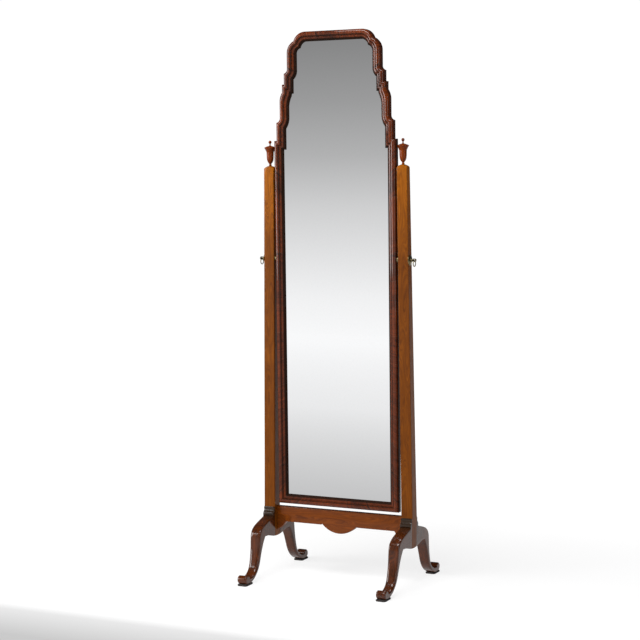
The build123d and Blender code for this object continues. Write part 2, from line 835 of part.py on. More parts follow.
with BuildPart() as rose_pins:
    pin_plane = across_pivot.offset(rose_seat + rose_pin_seat)
    with BuildSketch(pin_plane):
        with Locations((0, rose_pin_offset), (0, -rose_pin_offset)):
            Circle(rose_pin_head_radius)
    extrude(amount=rose_pin_head_height)
    with BuildSketch(pin_plane):
        with Locations((0, rose_pin_offset), (0, -rose_pin_offset)):
            Circle(rose_pin_radius)
    extrude(amount=-rose_pin_length - rose_pin_seat)
    mirror(about=Plane.YZ)
save(rose_pins, "rose_pins")


# Pivot screws: a plain shank, a collar on the rose, a neck and a barrel head with a flared eye for the ring
with BuildPart() as right_screw:
    collar_start = rose_front + joint_gap
    collar_end = collar_start + screw_collar_length
    with BuildSketch(along_pivot):
        with BuildLine():
            Polyline(
                (head_end - screw_head_edge, screw_head_radius),
                (head_start + screw_head_edge, screw_head_radius),
            )
            RadiusArc(
                (head_start, screw_head_radius - screw_head_edge),
                (head_start + screw_head_edge, screw_head_radius),
                screw_head_edge,
            )
            RadiusArc(
                (head_end - screw_head_edge, screw_head_radius),
                (head_end, screw_head_radius - screw_head_edge),
                screw_head_edge,
            )
            Polyline(
                (head_start, screw_head_radius - screw_head_edge),
                (head_start, 0),
                (head_end, 0),
                (head_end, screw_head_radius - screw_head_edge),
            )
        make_face()
    revolve(axis=pivot_line)
    with BuildSketch(across_pivot.offset(collar_end)):
        Circle(screw_neck_radius)
    extrude(amount=screw_neck_length + screw_head_edge)
    with BuildSketch(across_pivot.offset(collar_start)):
        Circle(screw_collar_radius)
    extrude(amount=screw_collar_length)
    with BuildSketch(across_pivot.offset(frame_half_width - screw_reach)):
        Circle(shank_radius)
    extrude(amount=collar_start + screw_reach - frame_half_width)
    with BuildSketch(Plane.XY.offset(pivot_height).shift_origin((eye_x, 0, pivot_height))):
        with BuildLine():
            Polyline(
                (0, screw_head_radius),
                (0, -screw_head_radius),
                (eye_mouth_radius, -screw_head_radius),
                (eye_radius, -eye_throat),
                (eye_radius, eye_throat),
                (eye_mouth_radius, screw_head_radius),
                close=True,
            )
        make_face()
    revolve(axis=Axis((eye_x, 0, pivot_height), (0, 1, 0)), mode=Mode.SUBTRACT)
save(right_screw, "right_screw")

with BuildPart() as left_screw:
    mirror(right_screw.part, about=Plane.YZ)
save(left_screw, "left_screw")


# Rings: a loose drop ring through the eye of each screw
with BuildPart() as right_ring:
    with Locations((eye_x, 0, ring_centre_height)):
        Torus(ring_radius, ring_wire_radius, rotation=(0, 90, 0))
save(right_ring, "right_ring")

with BuildPart() as left_ring:
    mirror(right_ring.part, about=Plane.YZ)
save(left_ring, "left_ring")
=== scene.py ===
"""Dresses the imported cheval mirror: polished walnut, looking-glass and brass, in a plain studio.

Lengths in the classes are in millimetres, in the frame's own axes: X along the mirror's width,
-Y the way the glass faces and Z up. A mesh is brought to metres when it is finished.
"""

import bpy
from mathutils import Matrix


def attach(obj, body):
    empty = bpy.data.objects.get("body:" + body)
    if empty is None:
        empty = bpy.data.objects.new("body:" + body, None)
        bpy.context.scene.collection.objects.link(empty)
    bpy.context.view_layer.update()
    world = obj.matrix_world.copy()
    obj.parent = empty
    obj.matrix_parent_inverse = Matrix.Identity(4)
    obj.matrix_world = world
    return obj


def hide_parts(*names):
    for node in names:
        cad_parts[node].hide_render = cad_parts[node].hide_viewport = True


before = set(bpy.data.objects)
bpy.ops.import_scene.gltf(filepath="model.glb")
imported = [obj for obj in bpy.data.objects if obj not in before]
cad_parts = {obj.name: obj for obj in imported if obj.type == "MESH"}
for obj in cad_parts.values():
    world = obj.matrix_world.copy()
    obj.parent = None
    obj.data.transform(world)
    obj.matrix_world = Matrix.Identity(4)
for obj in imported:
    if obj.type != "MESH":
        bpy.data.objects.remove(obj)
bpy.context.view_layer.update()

import logging
import math
from collections.abc import Sequence
from dataclasses import dataclass
from enum import Enum
from typing import NamedTuple

import bmesh
import bpy
from mathutils import Matrix, Vector

log = logging.getLogger("cheval_mirror")

MM = 0.001
Point = tuple[float, float]
Colour = tuple[float, float, float]
Place = tuple[float, float, float]
Rows = tuple[tuple[float, ...], ...]
Material = bpy.types.Material
Node = bpy.types.Node
Socket = bpy.types.NodeSocket


class Grain(Enum):
    """Which way the grain of a piece runs."""

    UPRIGHT = "upright"
    ACROSS = "across"
    BANDED = "banded"


class Side(Enum):
    """The left or the right half of the object, as its sign along X."""

    LEFT = -1
    RIGHT = 1

    @property
    def word(self) -> str:
        """The side's name, as the nodes spell it."""
        return self.name.lower()


def corners() -> list[tuple[str, Side, bool]]:
    """The object's four corners: each one's name, its side, and whether it is at the back."""
    return [(f"{end}_{side.word}", side, end == "back") for side in Side for end in ("front", "back")]


def srgb(red: float, green: float, blue: float) -> Colour:
    """Turns a colour given as 0 to 255 on a screen into linear light.

    Args:
        red, green, blue: the colour's channels.

    Returns:
        The channels in linear light.
    """
    def linear(value: float) -> float:
        """One channel, by the standard curve of screen colours."""
        share = value / 255
        return share / 12.92 if share <= 0.04045 else ((share + 0.055) / 1.055) ** 2.4

    return linear(red), linear(green), linear(blue)


def arc(start: Point, middle: Point, end: Point, steps: int) -> list[Point]:
    """Points on the arc through three points.

    Args:
        start, middle, end: the points, in order.
        steps: the number of equal steps.

    Returns:
        The points after the start, the end included.
    """
    (ax, ay), (bx, by), (cx, cy) = start, middle, end
    scale = 2 * (ax * (by - cy) + bx * (cy - ay) + cx * (ay - by))
    a, b, c = ax * ax + ay * ay, bx * bx + by * by, cx * cx + cy * cy
    centre = Vector(((a * (by - cy) + b * (cy - ay) + c * (ay - by)) / scale,
                     (a * (cx - bx) + b * (ax - cx) + c * (bx - ax)) / scale))
    first, last = Vector(start) - centre, Vector(end) - centre
    sweep = math.atan2(first.x * last.y - first.y * last.x, first.dot(last))
    half = Vector(middle) - centre
    turn = math.atan2(first.x * half.y - first.y * half.x, first.dot(half))
    if sweep * turn < 0:
        sweep -= math.copysign(2 * math.pi, sweep)
    points = []
    for step in range(1, steps + 1):
        angle = sweep * step / steps
        cosine, sine = math.cos(angle), math.sin(angle)
        points.append((centre.x + first.x * cosine - first.y * sine,
                       centre.y + first.x * sine + first.y * cosine))
    return points


def smooth(rows: Sequence[tuple[float, ...]], steps: int) -> list[tuple[float, ...]]:
    """A smooth run through rows of numbers.

    Args:
        rows: the rows that the run passes through, each with as many numbers.
        steps: the steps between one row and the next.

    Returns:
        The rows with the steps between them.
    """
    run = [rows[0]]
    for k in range(len(rows) - 1):
        before, here = rows[max(k - 1, 0)], rows[k]
        after, beyond = rows[k + 1], rows[min(k + 2, len(rows) - 1)]
        for step in range(1, steps + 1):
            t = step / steps
            run.append(tuple(
                0.5 * (2 * q + (r - p) * t + (2 * p - 5 * q + 4 * r - s) * t ** 2
                       + (3 * q - p - 3 * r + s) * t ** 3)
                for p, q, r, s in zip(before, here, after, beyond)
            ))
    return run


def rounded_rectangle(half_width: float, half_depth: float, near: float, far: float,
                      sides: int) -> list[Point]:
    """A rectangle with rounded corners, as one loop.

    Args:
        half_width, half_depth: half of its size each way.
        near, far: the radius of the two corners below the middle, and of the two above it.
        sides: the number of steps along each straight side.

    Returns:
        The loop's points, counter-clockwise from the lower right.
    """
    corner_steps, fullest = 4, 0.96
    limit = fullest * min(half_width, half_depth)
    corners = ((1, -1, near, -90), (1, 1, far, 0), (-1, 1, far, 90), (-1, -1, near, 180))
    loop: list[Point] = []
    for sign_x, sign_y, radius, start in corners:
        radius = min(radius, limit)
        centre = (sign_x * (half_width - radius), sign_y * (half_depth - radius))
        turn = []
        for step in range(corner_steps + 1):
            angle = math.radians(start + 90 * step / corner_steps)
            turn.append((centre[0] + radius * math.cos(angle), centre[1] + radius * math.sin(angle)))
        if loop:
            loop += between(loop[-1], turn[0], sides)
        loop += turn
    return loop + between(loop[-1], loop[0], sides)


def part_way(start: Point, end: Point, share: float) -> Point:
    """The point that lies a share of the way from one point to another."""
    return start[0] + (end[0] - start[0]) * share, start[1] + (end[1] - start[1]) * share


def between(start: Point, end: Point, steps: int) -> list[Point]:
    """The points that divide a straight stretch into equal steps, its ends left out."""
    return [part_way(start, end, k / steps) for k in range(1, steps)]


class Mesh:
    """One piece under construction, with the map that its finish follows."""

    def __init__(self) -> None:
        """Starts an empty mesh."""
        self.bm = bmesh.new()
        self.along = self.bm.verts.layers.float.new("along")
        self.across = self.bm.verts.layers.float.new("across")
        self.map = self.bm.loops.layers.uv.new("grain")

    def loft(self, rings: list[list[Vector]], along: list[float], across: list[float] | None = None) -> None:
        """Draws a closed section out through a row of rings, and closes both ends.

        Args:
            rings: the rings, with as many points each.
            along: how far along the piece each ring lies.
            across: how far round the section each point lies, and last its whole way round. Without
                it the points are counted.
        """
        bm = self.bm
        across = across or [float(k) for k in range(len(rings[0]) + 1)]
        verts = [bm.verts.new(point) for point in rings[0]]
        edges = [bm.edges.new((a, b)) for a, b in zip(verts, verts[1:] + verts[:1])]
        self._label(verts, along[0], across)
        bm.faces.new(verts)
        for ring, way in zip(rings[1:], along[1:]):
            places = {vert.co.to_tuple(6): k for k, vert in enumerate(verts)}
            made = bmesh.ops.extrude_edge_only(bm, edges=edges)["geom"]
            following = [None] * len(ring)
            for item in made:
                if isinstance(item, bmesh.types.BMVert):
                    following[places[item.co.to_tuple(6)]] = item
            for vert, point in zip(following, ring):
                vert.co = point
            self._label(following, way, across)
            verts = following
            edges = [bm.edges.get((a, b)) for a, b in zip(verts, verts[1:] + verts[:1])]
        bm.faces.new(verts)
        self._fill_map(across[-1])

    def _label(self, verts: list[bmesh.types.BMVert], way: float, across: list[float]) -> None:
        """Notes on each point of a ring where it lies on the piece.

        Args:
            verts: the ring's points.
            way: how far along the piece the ring lies.
            across: how far round the section each point lies.
        """
        for vert, place in zip(verts, across):
            vert[self.along] = way
            vert[self.across] = place

    def _fill_map(self, whole: float) -> None:
        """Writes the grain map from the notes, in metres, with no jump where the section closes.

        Args:
            whole: the section's whole way round.
        """
        for face in self.bm.faces:
            places = [vert[self.across] for vert in face.verts]
            jump = max(places) - min(places) > whole / 2 and len(places) == 4
            for loop in face.loops:
                place = loop.vert[self.across]
                if jump and place < whole / 2:
                    place += whole
                loop[self.map].uv = (loop.vert[self.along] * MM, place * MM)

    def spin(self, profile: list[Point], axis: Vector, centre: Vector, steps: int) -> None:
        """Turns a profile round an axis.

        Args:
            profile: points as (radius, place along the axis).
            axis: the axis, +X or +Z.
            centre: a point on the axis, where the place is 0.
            steps: the number of steps in a full turn.
        """
        bm, merge_reach = self.bm, 0.001
        side = Vector((0, 1, 0)) if axis.x else Vector((1, 0, 0))
        verts = [bm.verts.new(centre + side * radius + axis * place) for radius, place in profile]
        edges = [bm.edges.new(pair) for pair in zip(verts, verts[1:])]
        bmesh.ops.spin(bm, geom=verts + edges, cent=centre, axis=axis, angle=2 * math.pi, steps=steps,
                       use_merge=True, use_normal_flip=False, use_duplicate=False)
        bmesh.ops.remove_doubles(bm, verts=bm.verts, dist=merge_reach)

    def board(self, outline: list[Point], front: float, thickness: float) -> None:
        """Cuts a board of even thickness.

        Args:
            outline: its front view, as (x, z).
            front: where its front face lies along Y.
            thickness: how far it reaches back from there.
        """
        bm = self.bm
        face = bm.faces.new([bm.verts.new((x, front, z)) for x, z in outline])
        made = bmesh.ops.extrude_face_region(bm, geom=[face])["geom"]
        moved = [item for item in made if isinstance(item, bmesh.types.BMVert)]
        bmesh.ops.translate(bm, vec=Vector((0, thickness, 0)), verts=moved)

    def finish(self, name: str, body: str, material: Material, slot: str, nodes: tuple[str, ...],
               side: Side = Side.RIGHT, flip_y: bool = False, sharp: float = 32) -> bpy.types.Object:
        """Closes the mesh off as a piece of the scene.

        Args:
            name: the piece's name.
            body: the body that it moves with.
            material: its finish.
            slot: the record's slot of that finish.
            nodes: the nodes that it stands for.
            side: the half that it belongs to. The mesh is made for the right.
            flip_y: whether it belongs to the back. The mesh is made for the front.
            sharp: the angle in degrees past which an edge stays crisp.

        Returns:
            The piece.
        """
        bm = self.bm
        scale = Vector((side.value, -1 if flip_y else 1, 1)) * MM
        bmesh.ops.scale(bm, vec=scale, verts=bm.verts)
        bmesh.ops.recalc_face_normals(bm, faces=bm.faces)
        data = bpy.data.meshes.new(name)
        bm.to_mesh(data)
        bm.free()
        data.shade_smooth()
        data.set_sharp_from_angle(angle=math.radians(sharp))
        return place(name, data, body, material, slot, nodes)


def stand(name: str, data: bpy.types.ID) -> bpy.types.Object:
    """Stands a new object in the scene.

    Args:
        name: its name.
        data: its mesh, lamp or camera.

    Returns:
        The object.
    """
    made = bpy.data.objects.new(name, data)
    bpy.context.scene.collection.objects.link(made)
    return made


def place(name: str, data: bpy.types.Mesh, body: str, material: Material, slot: str,
          nodes: tuple[str, ...]) -> bpy.types.Object:
    """Puts a finished mesh in the scene, on its body and in place of its nodes.

    Args:
        name, data: the piece's name and mesh.
        body: the body that it moves with.
        material: its finish.
        slot: the record's slot of that finish. Not used.
        nodes: the nodes that it stands for.

    Returns:
        The piece.
    """
    piece = stand(name, data)
    data.materials.clear()
    data.materials.append(material)
    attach(piece, body)
    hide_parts(*nodes)
    log.info("%s: %d faces, rides on %s", name, len(data.polygons), body)
    return piece


class NodeTree:
    """Adds and joins shader nodes in one tree."""

    def __init__(self, tree: bpy.types.NodeTree) -> None:
        """Takes the tree to work in."""
        self.tree = tree

    def fill(self, node: Node, values: dict[str | int, object]) -> None:
        """Fills the inputs of a node.

        Args:
            node: the node.
            values: what its inputs hold, or the socket that each is joined to.
        """
        for name, value in values.items():
            if isinstance(value, Socket):
                self.tree.links.new(value, node.inputs[name])
            else:
                node.inputs[name].default_value = value

    def add(self, kind: str, values: dict[str | int, object] | None = None,
            **settings: object) -> Node:
        """Adds a node.

        Args:
            kind: the node's type.
            values: what its inputs are filled with.
            settings: its own settings.

        Returns:
            The node.
        """
        node = self.tree.nodes.new(kind)
        for name, value in settings.items():
            setattr(node, name, value)
        self.fill(node, values or {})
        return node

    def math(self, operation: str, first: object, second: object = 0.0,
             clamp: bool = False) -> Socket:
        """Adds a sum and returns its result."""
        values = {0: first, 1: second}
        return self.add("ShaderNodeMath", values, operation=operation, use_clamp=clamp).outputs[0]

    def mix(self, share: object, first: object, second: object, blend: str = "MIX") -> Socket:
        """Mixes two colours.

        Args:
            share: how much of the second colour shows, or the socket that says it.
            first, second: the colours, or their sockets.
            blend: how they mix.

        Returns:
            The mixed colour.
        """
        node = self.add("ShaderNodeMix", {"Factor": share}, data_type="RGBA", blend_type=blend)
        for name, value in (("A", first), ("B", second)):
            socket = next(s for s in node.inputs if s.name == name and s.type == "RGBA")
            if isinstance(value, Socket):
                self.tree.links.new(value, socket)
            else:
                socket.default_value = (*value, 1)
        return next(s for s in node.outputs if s.type == "RGBA")

    def ramp(self, value: object, low: float, high: float, to_low: float = 0.0,
             to_high: float = 1.0) -> Socket:
        """Maps a range of values onto another and returns the result."""
        values = {"Value": value, "From Min": low, "From Max": high, "To Min": to_low, "To Max": to_high}
        return self.add("ShaderNodeMapRange", values).outputs["Result"]

    def greys(self, value: object, stops: tuple[Point, ...]) -> Socket:
        """Looks a value from 0 to 1 up in a row of greys.

        Args:
            value: the value, or its socket.
            stops: the greys, each as (position, brightness), in order.

        Returns:
            The grey there.
        """
        node = self.add("ShaderNodeValToRGB", {0: value})
        elements = node.color_ramp.elements
        for element, (position, grey) in zip(elements, (stops[0], stops[-1])):
            element.position, element.color = position, (grey, grey, grey, 1)
        for position, grey in stops[1:-1]:
            elements.new(position).color = (grey, grey, grey, 1)
        return node.outputs[0]

    def noise(self, vector: object, scale: object, detail: float = 3.0,
              distortion: float = 0.0) -> Socket:
        """Adds a noise and returns its value."""
        values = {"Vector": vector, "Scale": scale, "Detail": detail, "Distortion": distortion}
        return self.add("ShaderNodeTexNoise", values).outputs["Fac"]


def node_group(name: str, inputs: dict[str, str], outputs: dict[str, str],
               ) -> tuple[NodeTree, Node, Node]:
    """Starts a shader node group.

    Args:
        name: the group's name.
        inputs, outputs: its sockets, as name to socket type.

    Returns:
        The group's tree, its input node and its output node.
    """
    group = bpy.data.node_groups.new(name, "ShaderNodeTree")
    for names, way in ((inputs, "INPUT"), (outputs, "OUTPUT")):
        for socket, kind in names.items():
            group.interface.new_socket(socket, in_out=way, socket_type=kind)
    return NodeTree(group), group.nodes.new("NodeGroupInput"), group.nodes.new("NodeGroupOutput")


@dataclass(frozen=True)
class WalnutFigure:
    """Wood with its grain along Z: dark streaks, fine fibres and short open pores."""

    streak_stretch: float = 0.14
    fibre_stretch: float = 0.03
    sway: float = 14
    streak_range: Point = (0.32, 0.68)
    streak_share: float = 0.66
    fibre_share: float = 0.34
    fibre_height: float = 0.5
    pores: float = 1150
    pore_range: Point = (0.60, 0.70)

    def build(self) -> bpy.types.NodeTree:
        """Builds the node group.

        Returns:
            The group.
        """
        tree, start, end = node_group(
            "walnut_figure",
            {"Vector": "NodeSocketVector", "Streaks": "NodeSocketFloat", "Fibres": "NodeSocketFloat"},
            {"Tone": "NodeSocketFloat", "Pores": "NodeSocketFloat", "Height": "NodeSocketFloat"},
        )
        vector = start.outputs["Vector"]
        drawn, thin = (
            tree.add("ShaderNodeMapping", {"Vector": vector, "Scale": (1, 1, stretch)}).outputs[0]
            for stretch in (self.streak_stretch, self.fibre_stretch)
        )
        sway = tree.noise(drawn, self.sway, 2)
        bent = tree.add("ShaderNodeVectorMath", {0: drawn, 1: sway}, operation="ADD").outputs[0]
        streaks = tree.noise(bent, start.outputs["Streaks"], 5, 0.6)
        fibres = tree.noise(thin, start.outputs["Fibres"], 4, 0.2)
        pores = tree.ramp(tree.noise(thin, self.pores, 2), *self.pore_range)
        broad = tree.math("MULTIPLY", tree.ramp(streaks, *self.streak_range), self.streak_share)
        fine = tree.math("MULTIPLY", fibres, self.fibre_share)
        raised = tree.math("MULTIPLY", fibres, self.fibre_height)
        tone, height = tree.math("ADD", broad, fine, clamp=True), tree.math("SUBTRACT", raised, pores)
        tree.fill(end, {"Tone": tone, "Pores": pores, "Height": height})
        return tree.tree


@dataclass(frozen=True)
class Patina:
    """The unevenness of an old finish: broad mottling, and a smear of fine rubbing marks."""

    mottle_range: Point = (0.3, 0.7)
    broad_rubbing: Point = (45, 0.6)
    fine_rubbing: Point = (700, 0.4)
    smear_range: Point = (0.35, 0.65)

    def build(self) -> bpy.types.NodeTree:
        """Builds the node group.

        Returns:
            The group.
        """
        tree, start, end = node_group(
            "patina",
            {"Vector": "NodeSocketVector", "Mottle scale": "NodeSocketFloat"},
            {"Mottle": "NodeSocketFloat", "Smear": "NodeSocketFloat"},
        )
        vector = start.outputs["Vector"]
        mottle = tree.noise(vector, start.outputs["Mottle scale"], 4, 0.4)
        (broad, broad_share), (fine, fine_share) = self.broad_rubbing, self.fine_rubbing
        smear = tree.math("ADD", tree.math("MULTIPLY", tree.noise(vector, broad, 3), broad_share),
                          tree.math("MULTIPLY", tree.noise(vector, fine, 2), fine_share))
        mottle, smear = tree.ramp(mottle, *self.mottle_range), tree.ramp(smear, *self.smear_range)
        tree.fill(end, {"Mottle": mottle, "Smear": smear})
        return tree.tree


class Patterns:
    """The node groups that the finishes share, each built once."""

    def __init__(self) -> None:
        """Builds the groups."""
        self.figure = WalnutFigure().build()
        self.patina = Patina().build()


def start_material(name: str) -> tuple[Material, NodeTree, Node]:
    """Starts a material with a Principled shader.

    Args:
        name: the material's name.

    Returns:
        The material, its tree and its shader.
    """
    material = bpy.data.materials.new(name)
    material.use_nodes = True
    return material, NodeTree(material.node_tree), material.node_tree.nodes["Principled BSDF"]


class Ground(NamedTuple):
    """A started material, with what every finish is laid on."""

    tree: NodeTree
    shader: Node
    coordinates: Node
    place_on: Socket
    patina: Node
    patterns: Patterns

    def raise_by(self, height: Socket, strength: float, distance: float) -> None:
        """Gives the surface a relief, from its height, how much of it shows and how deep it is."""
        values = {"Height": height, "Strength": strength, "Distance": distance}
        self.tree.fill(self.shader, {"Normal": self.tree.add("ShaderNodeBump", values).outputs[0]})


@dataclass(frozen=True)
class Finish:
    """What every finish has: a name, two colours that its patina mixes, and its roughness."""

    name: str
    light: Colour
    dark: Colour
    mottle_scale: float = 16
    roughness: float = 0.3

    def build(self, patterns: Patterns) -> Material:
        """Builds the material.

        Args:
            patterns: the shared node groups.

        Returns:
            The material.
        """
        material, tree, shader = start_material(self.name)
        coordinates = tree.add("ShaderNodeTexCoord")
        place_on = coordinates.outputs["Object"]
        values = {"Vector": place_on, "Mottle scale": self.mottle_scale}
        patina = tree.add("ShaderNodeGroup", values, node_tree=patterns.patina)
        self.lay(Ground(tree, shader, coordinates, place_on, patina, patterns))
        return material

    def lay(self, ground: Ground) -> None:
        """Lays the finish on its ground. Each finish has its own way."""
        raise NotImplementedError


class Bands(NamedTuple):
    """What banded veneer gives its finish."""

    vector: Socket
    joint: Socket
    shift: Socket
    dirt: Socket


@dataclass(frozen=True)
class Banding:
    """Veneer laid across a moulding in short lengths, with painted shade along it.

    The painted shade lies on the moulding's side, in its quirk and along its sight edge. Its stops run round
    the section, from the outer back edge, and each is (share of the reach, how dark the painted shade is).
    """

    length: float = 0.085
    joint_width: float = 0.012
    joint_strength: float = 0.5
    joint_colour: Colour = (0.22, 0.13, 0.08)
    tone_spread: float = 0.16
    # Painted shade: darkens the moulding's side, its quirk and its sight edge.
    dirt_reach: float = 0.06
    dirt: tuple[Point, ...] = (
        (0.0, 0.7), (0.26, 0.6), (0.33, 0.1), (0.57, 0.1), (0.60, 0.85), (0.645, 0.8), (0.67, 0.15),
        (0.78, 0.25), (0.83, 0.95), (1.0, 0.95),
    )
    dirt_colour: Colour = (0.009, 0.004, 0.002)
    dullness: float = 0.5

    def build(self, tree: NodeTree, uv: Socket) -> Bands:
        """Lays the bands out by the piece's own map.

        Args:
            tree: the material's tree.
            uv: the map, along the moulding and across it.

        Returns:
            The figure's place, the hairlines between the lengths, each length's own tone, and the painted
            shade.
        """
        parts = tree.add("ShaderNodeSeparateXYZ", {0: uv})
        along, across = parts.outputs["X"], parts.outputs["Y"]
        count = tree.math("DIVIDE", along, self.length)
        number = tree.math("FLOOR", count)
        chance = tree.add("ShaderNodeTexWhiteNoise", {"W": number}, noise_dimensions="1D").outputs["Value"]
        vector = tree.add("ShaderNodeCombineXYZ", {0: along, 1: chance, 2: across}).outputs[0]
        joint = tree.ramp(tree.math("FRACT", count), 0.0, self.joint_width, self.joint_strength, 0.0)
        shift = tree.ramp(chance, 0, 1, -self.tone_spread, self.tone_spread)
        # Painted shade round the section, by the stops.
        dirt = tree.greys(tree.ramp(across, 0.0, self.dirt_reach), self.dirt)
        return Bands(vector, joint, shift, dirt)


@dataclass(frozen=True)
class WoodFinish(Finish):
    """Polished wood: its colours, its grain and its gloss. Heights are in metres."""

    # foot is painted shade: it is multiplied into the colour low down and fades out higher up, so the piece
    # is darker towards the bottom.
    foot: Colour = (1.0, 1.0, 1.0)
    painted_low_shade_height: float = 0.22
    painted_low_shade_fade_height: float = 1.2
    grain: Grain = Grain.UPRIGHT
    banding: Banding = Banding()
    streaks: float = 60
    fibres: float = 420
    mottle: float = 0.25
    pores: float = 0.35
    pore_colour: Colour = (0.012, 0.006, 0.004)
    # Painted shade: the piece darkens above a height, the leg's moulded top.
    painted_top_shade_height: float = 0.0
    painted_top_shade_fade: float = 0.022
    painted_top_shade: float = 0.85
    painted_top_shade_colour: Colour = (0.016, 0.011, 0.006)
    roughness: float = 0.34
    smear: Point = (-0.05, 0.10)
    specular: float = 0.05
    coat: float = 0.22
    coat_roughness: float = 0.06
    relief: float = 0.06
    relief_height: float = 0.0001

    def lay(self, ground: Ground) -> None:
        """Lays the wood on its ground.

        Args:
            ground: the started material.
        """
        tree, place_on = ground.tree, ground.place_on
        vector, bands = place_on, None
        if self.grain is Grain.BANDED:
            bands = self.banding.build(tree, ground.coordinates.outputs["UV"])
            vector = bands.vector
        elif self.grain is Grain.ACROSS:
            turned = {"Vector": place_on, "Rotation": (0, math.pi / 2, 0)}
            vector = tree.add("ShaderNodeMapping", turned).outputs[0]
        values = {"Vector": vector, "Streaks": self.streaks, "Fibres": self.fibres}
        figure = tree.add("ShaderNodeGroup", values, node_tree=ground.patterns.figure)
        tree.fill(ground.shader, {"Base Color": self._colour(ground, figure, bands)})
        self._gloss(ground, bands)
        ground.raise_by(figure.outputs["Height"], self.relief, self.relief_height)

    def _colour(self, ground: Ground, figure: Node, bands: Bands | None) -> Socket:
        """Mixes the wood's colour.

        Args:
            ground: the started material.
            figure: the wood's figure.
            bands: the veneer's bands, where it has them.

        Returns:
            The colour.
        """
        tree, tone = ground.tree, figure.outputs["Tone"]
        height = tree.add("ShaderNodeSeparateXYZ", {0: ground.place_on}).outputs["Z"]
        if bands:
            tone = tree.math("ADD", tone, bands.shift, clamp=True)
        colour = tree.mix(tone, self.dark, self.light)
        worn = tree.math("MULTIPLY", ground.patina.outputs["Mottle"], self.mottle)
        colour = tree.mix(worn, colour, self.dark)
        # Painted shade: darker towards the bottom, by the foot colour.
        low = tree.ramp(height, self.painted_low_shade_height, self.painted_low_shade_fade_height, 1.0, 0.0)
        colour = tree.mix(low, colour, tree.mix(1.0, colour, self.foot, "MULTIPLY"))
        open_pores = tree.math("MULTIPLY", figure.outputs["Pores"], self.pores)
        colour = tree.mix(open_pores, colour, self.pore_colour)
        if bands:
            colour = tree.mix(bands.joint, colour, self.banding.joint_colour)
            # Painted shade on the moulding's side, in its quirk and along its sight edge.
            colour = tree.mix(bands.dirt, colour, self.banding.dirt_colour)
        # Painted shade on the leg's moulded top.
        if self.painted_top_shade_height:
            painted_top_shade = tree.ramp(height, self.painted_top_shade_height - self.painted_top_shade_fade, self.painted_top_shade_height, 0.0, self.painted_top_shade)
            colour = tree.mix(painted_top_shade, colour, self.painted_top_shade_colour)
        return colour

    def _gloss(self, ground: Ground, bands: Bands | None) -> None:
        """Sets the polish. The painted shade along the bands also dulls it.

        Args:
            ground: the started material.
            bands: the veneer's bands, where it has them.
        """
        tree, coat = ground.tree, self.coat
        least, most = (self.roughness + share for share in self.smear)
        rough = tree.ramp(ground.patina.outputs["Smear"], 0, 1, least, most)
        if bands:
            # Where the shade is painted, the polish is also rougher and the coat thinner.
            rough = tree.math("ADD", rough, tree.math("MULTIPLY", bands.dirt, self.banding.dullness))
            unshaded = tree.math("SUBTRACT", 1.0, bands.dirt)
            coat = tree.math("MULTIPLY", unshaded, self.coat)
        tree.fill(ground.shader, {
            "Roughness": rough, "Coat Weight": coat, "Coat Roughness": self.coat_roughness,
            "Specular IOR Level": self.specular,
        })


@dataclass(frozen=True)
class MetalFinish(Finish):
    """Metal with a worn, uneven surface, or a looking-glass."""

    mottle_scale: float = 160
    tarnish: float = 0.5
    spread: float = 0.15

    def lay(self, ground: Ground) -> None:
        """Lays the metal on its ground.

        Args:
            ground: the started material.
        """
        tree, patina = ground.tree, ground.patina
        stain = tree.math("MULTIPLY", patina.outputs["Mottle"], self.tarnish)
        stained = tree.mix(stain, self.light, self.dark)
        rough = tree.ramp(patina.outputs["Smear"], 0, 1, self.roughness, self.roughness + self.spread)
        tree.fill(ground.shader, {"Base Color": stained, "Roughness": rough, "Metallic": 1.0})


@dataclass(frozen=True)
class FeltFinish(Finish):
    """Dark felt on the pads."""

    mottle_scale: float = 90
    roughness: float = 0.9
    fibres: float = 1400
    relief: float = 0.6
    relief_height: float = 0.0004

    def lay(self, ground: Ground) -> None:
        """Lays the felt on its ground.

        Args:
            ground: the started material.
        """
        tree = ground.tree
        mottled = tree.mix(ground.patina.outputs["Mottle"], self.light, self.dark)
        tree.fill(ground.shader, {"Base Color": mottled, "Roughness": self.roughness})
        ground.raise_by(tree.noise(ground.place_on, self.fibres, 4), self.relief, self.relief_height)


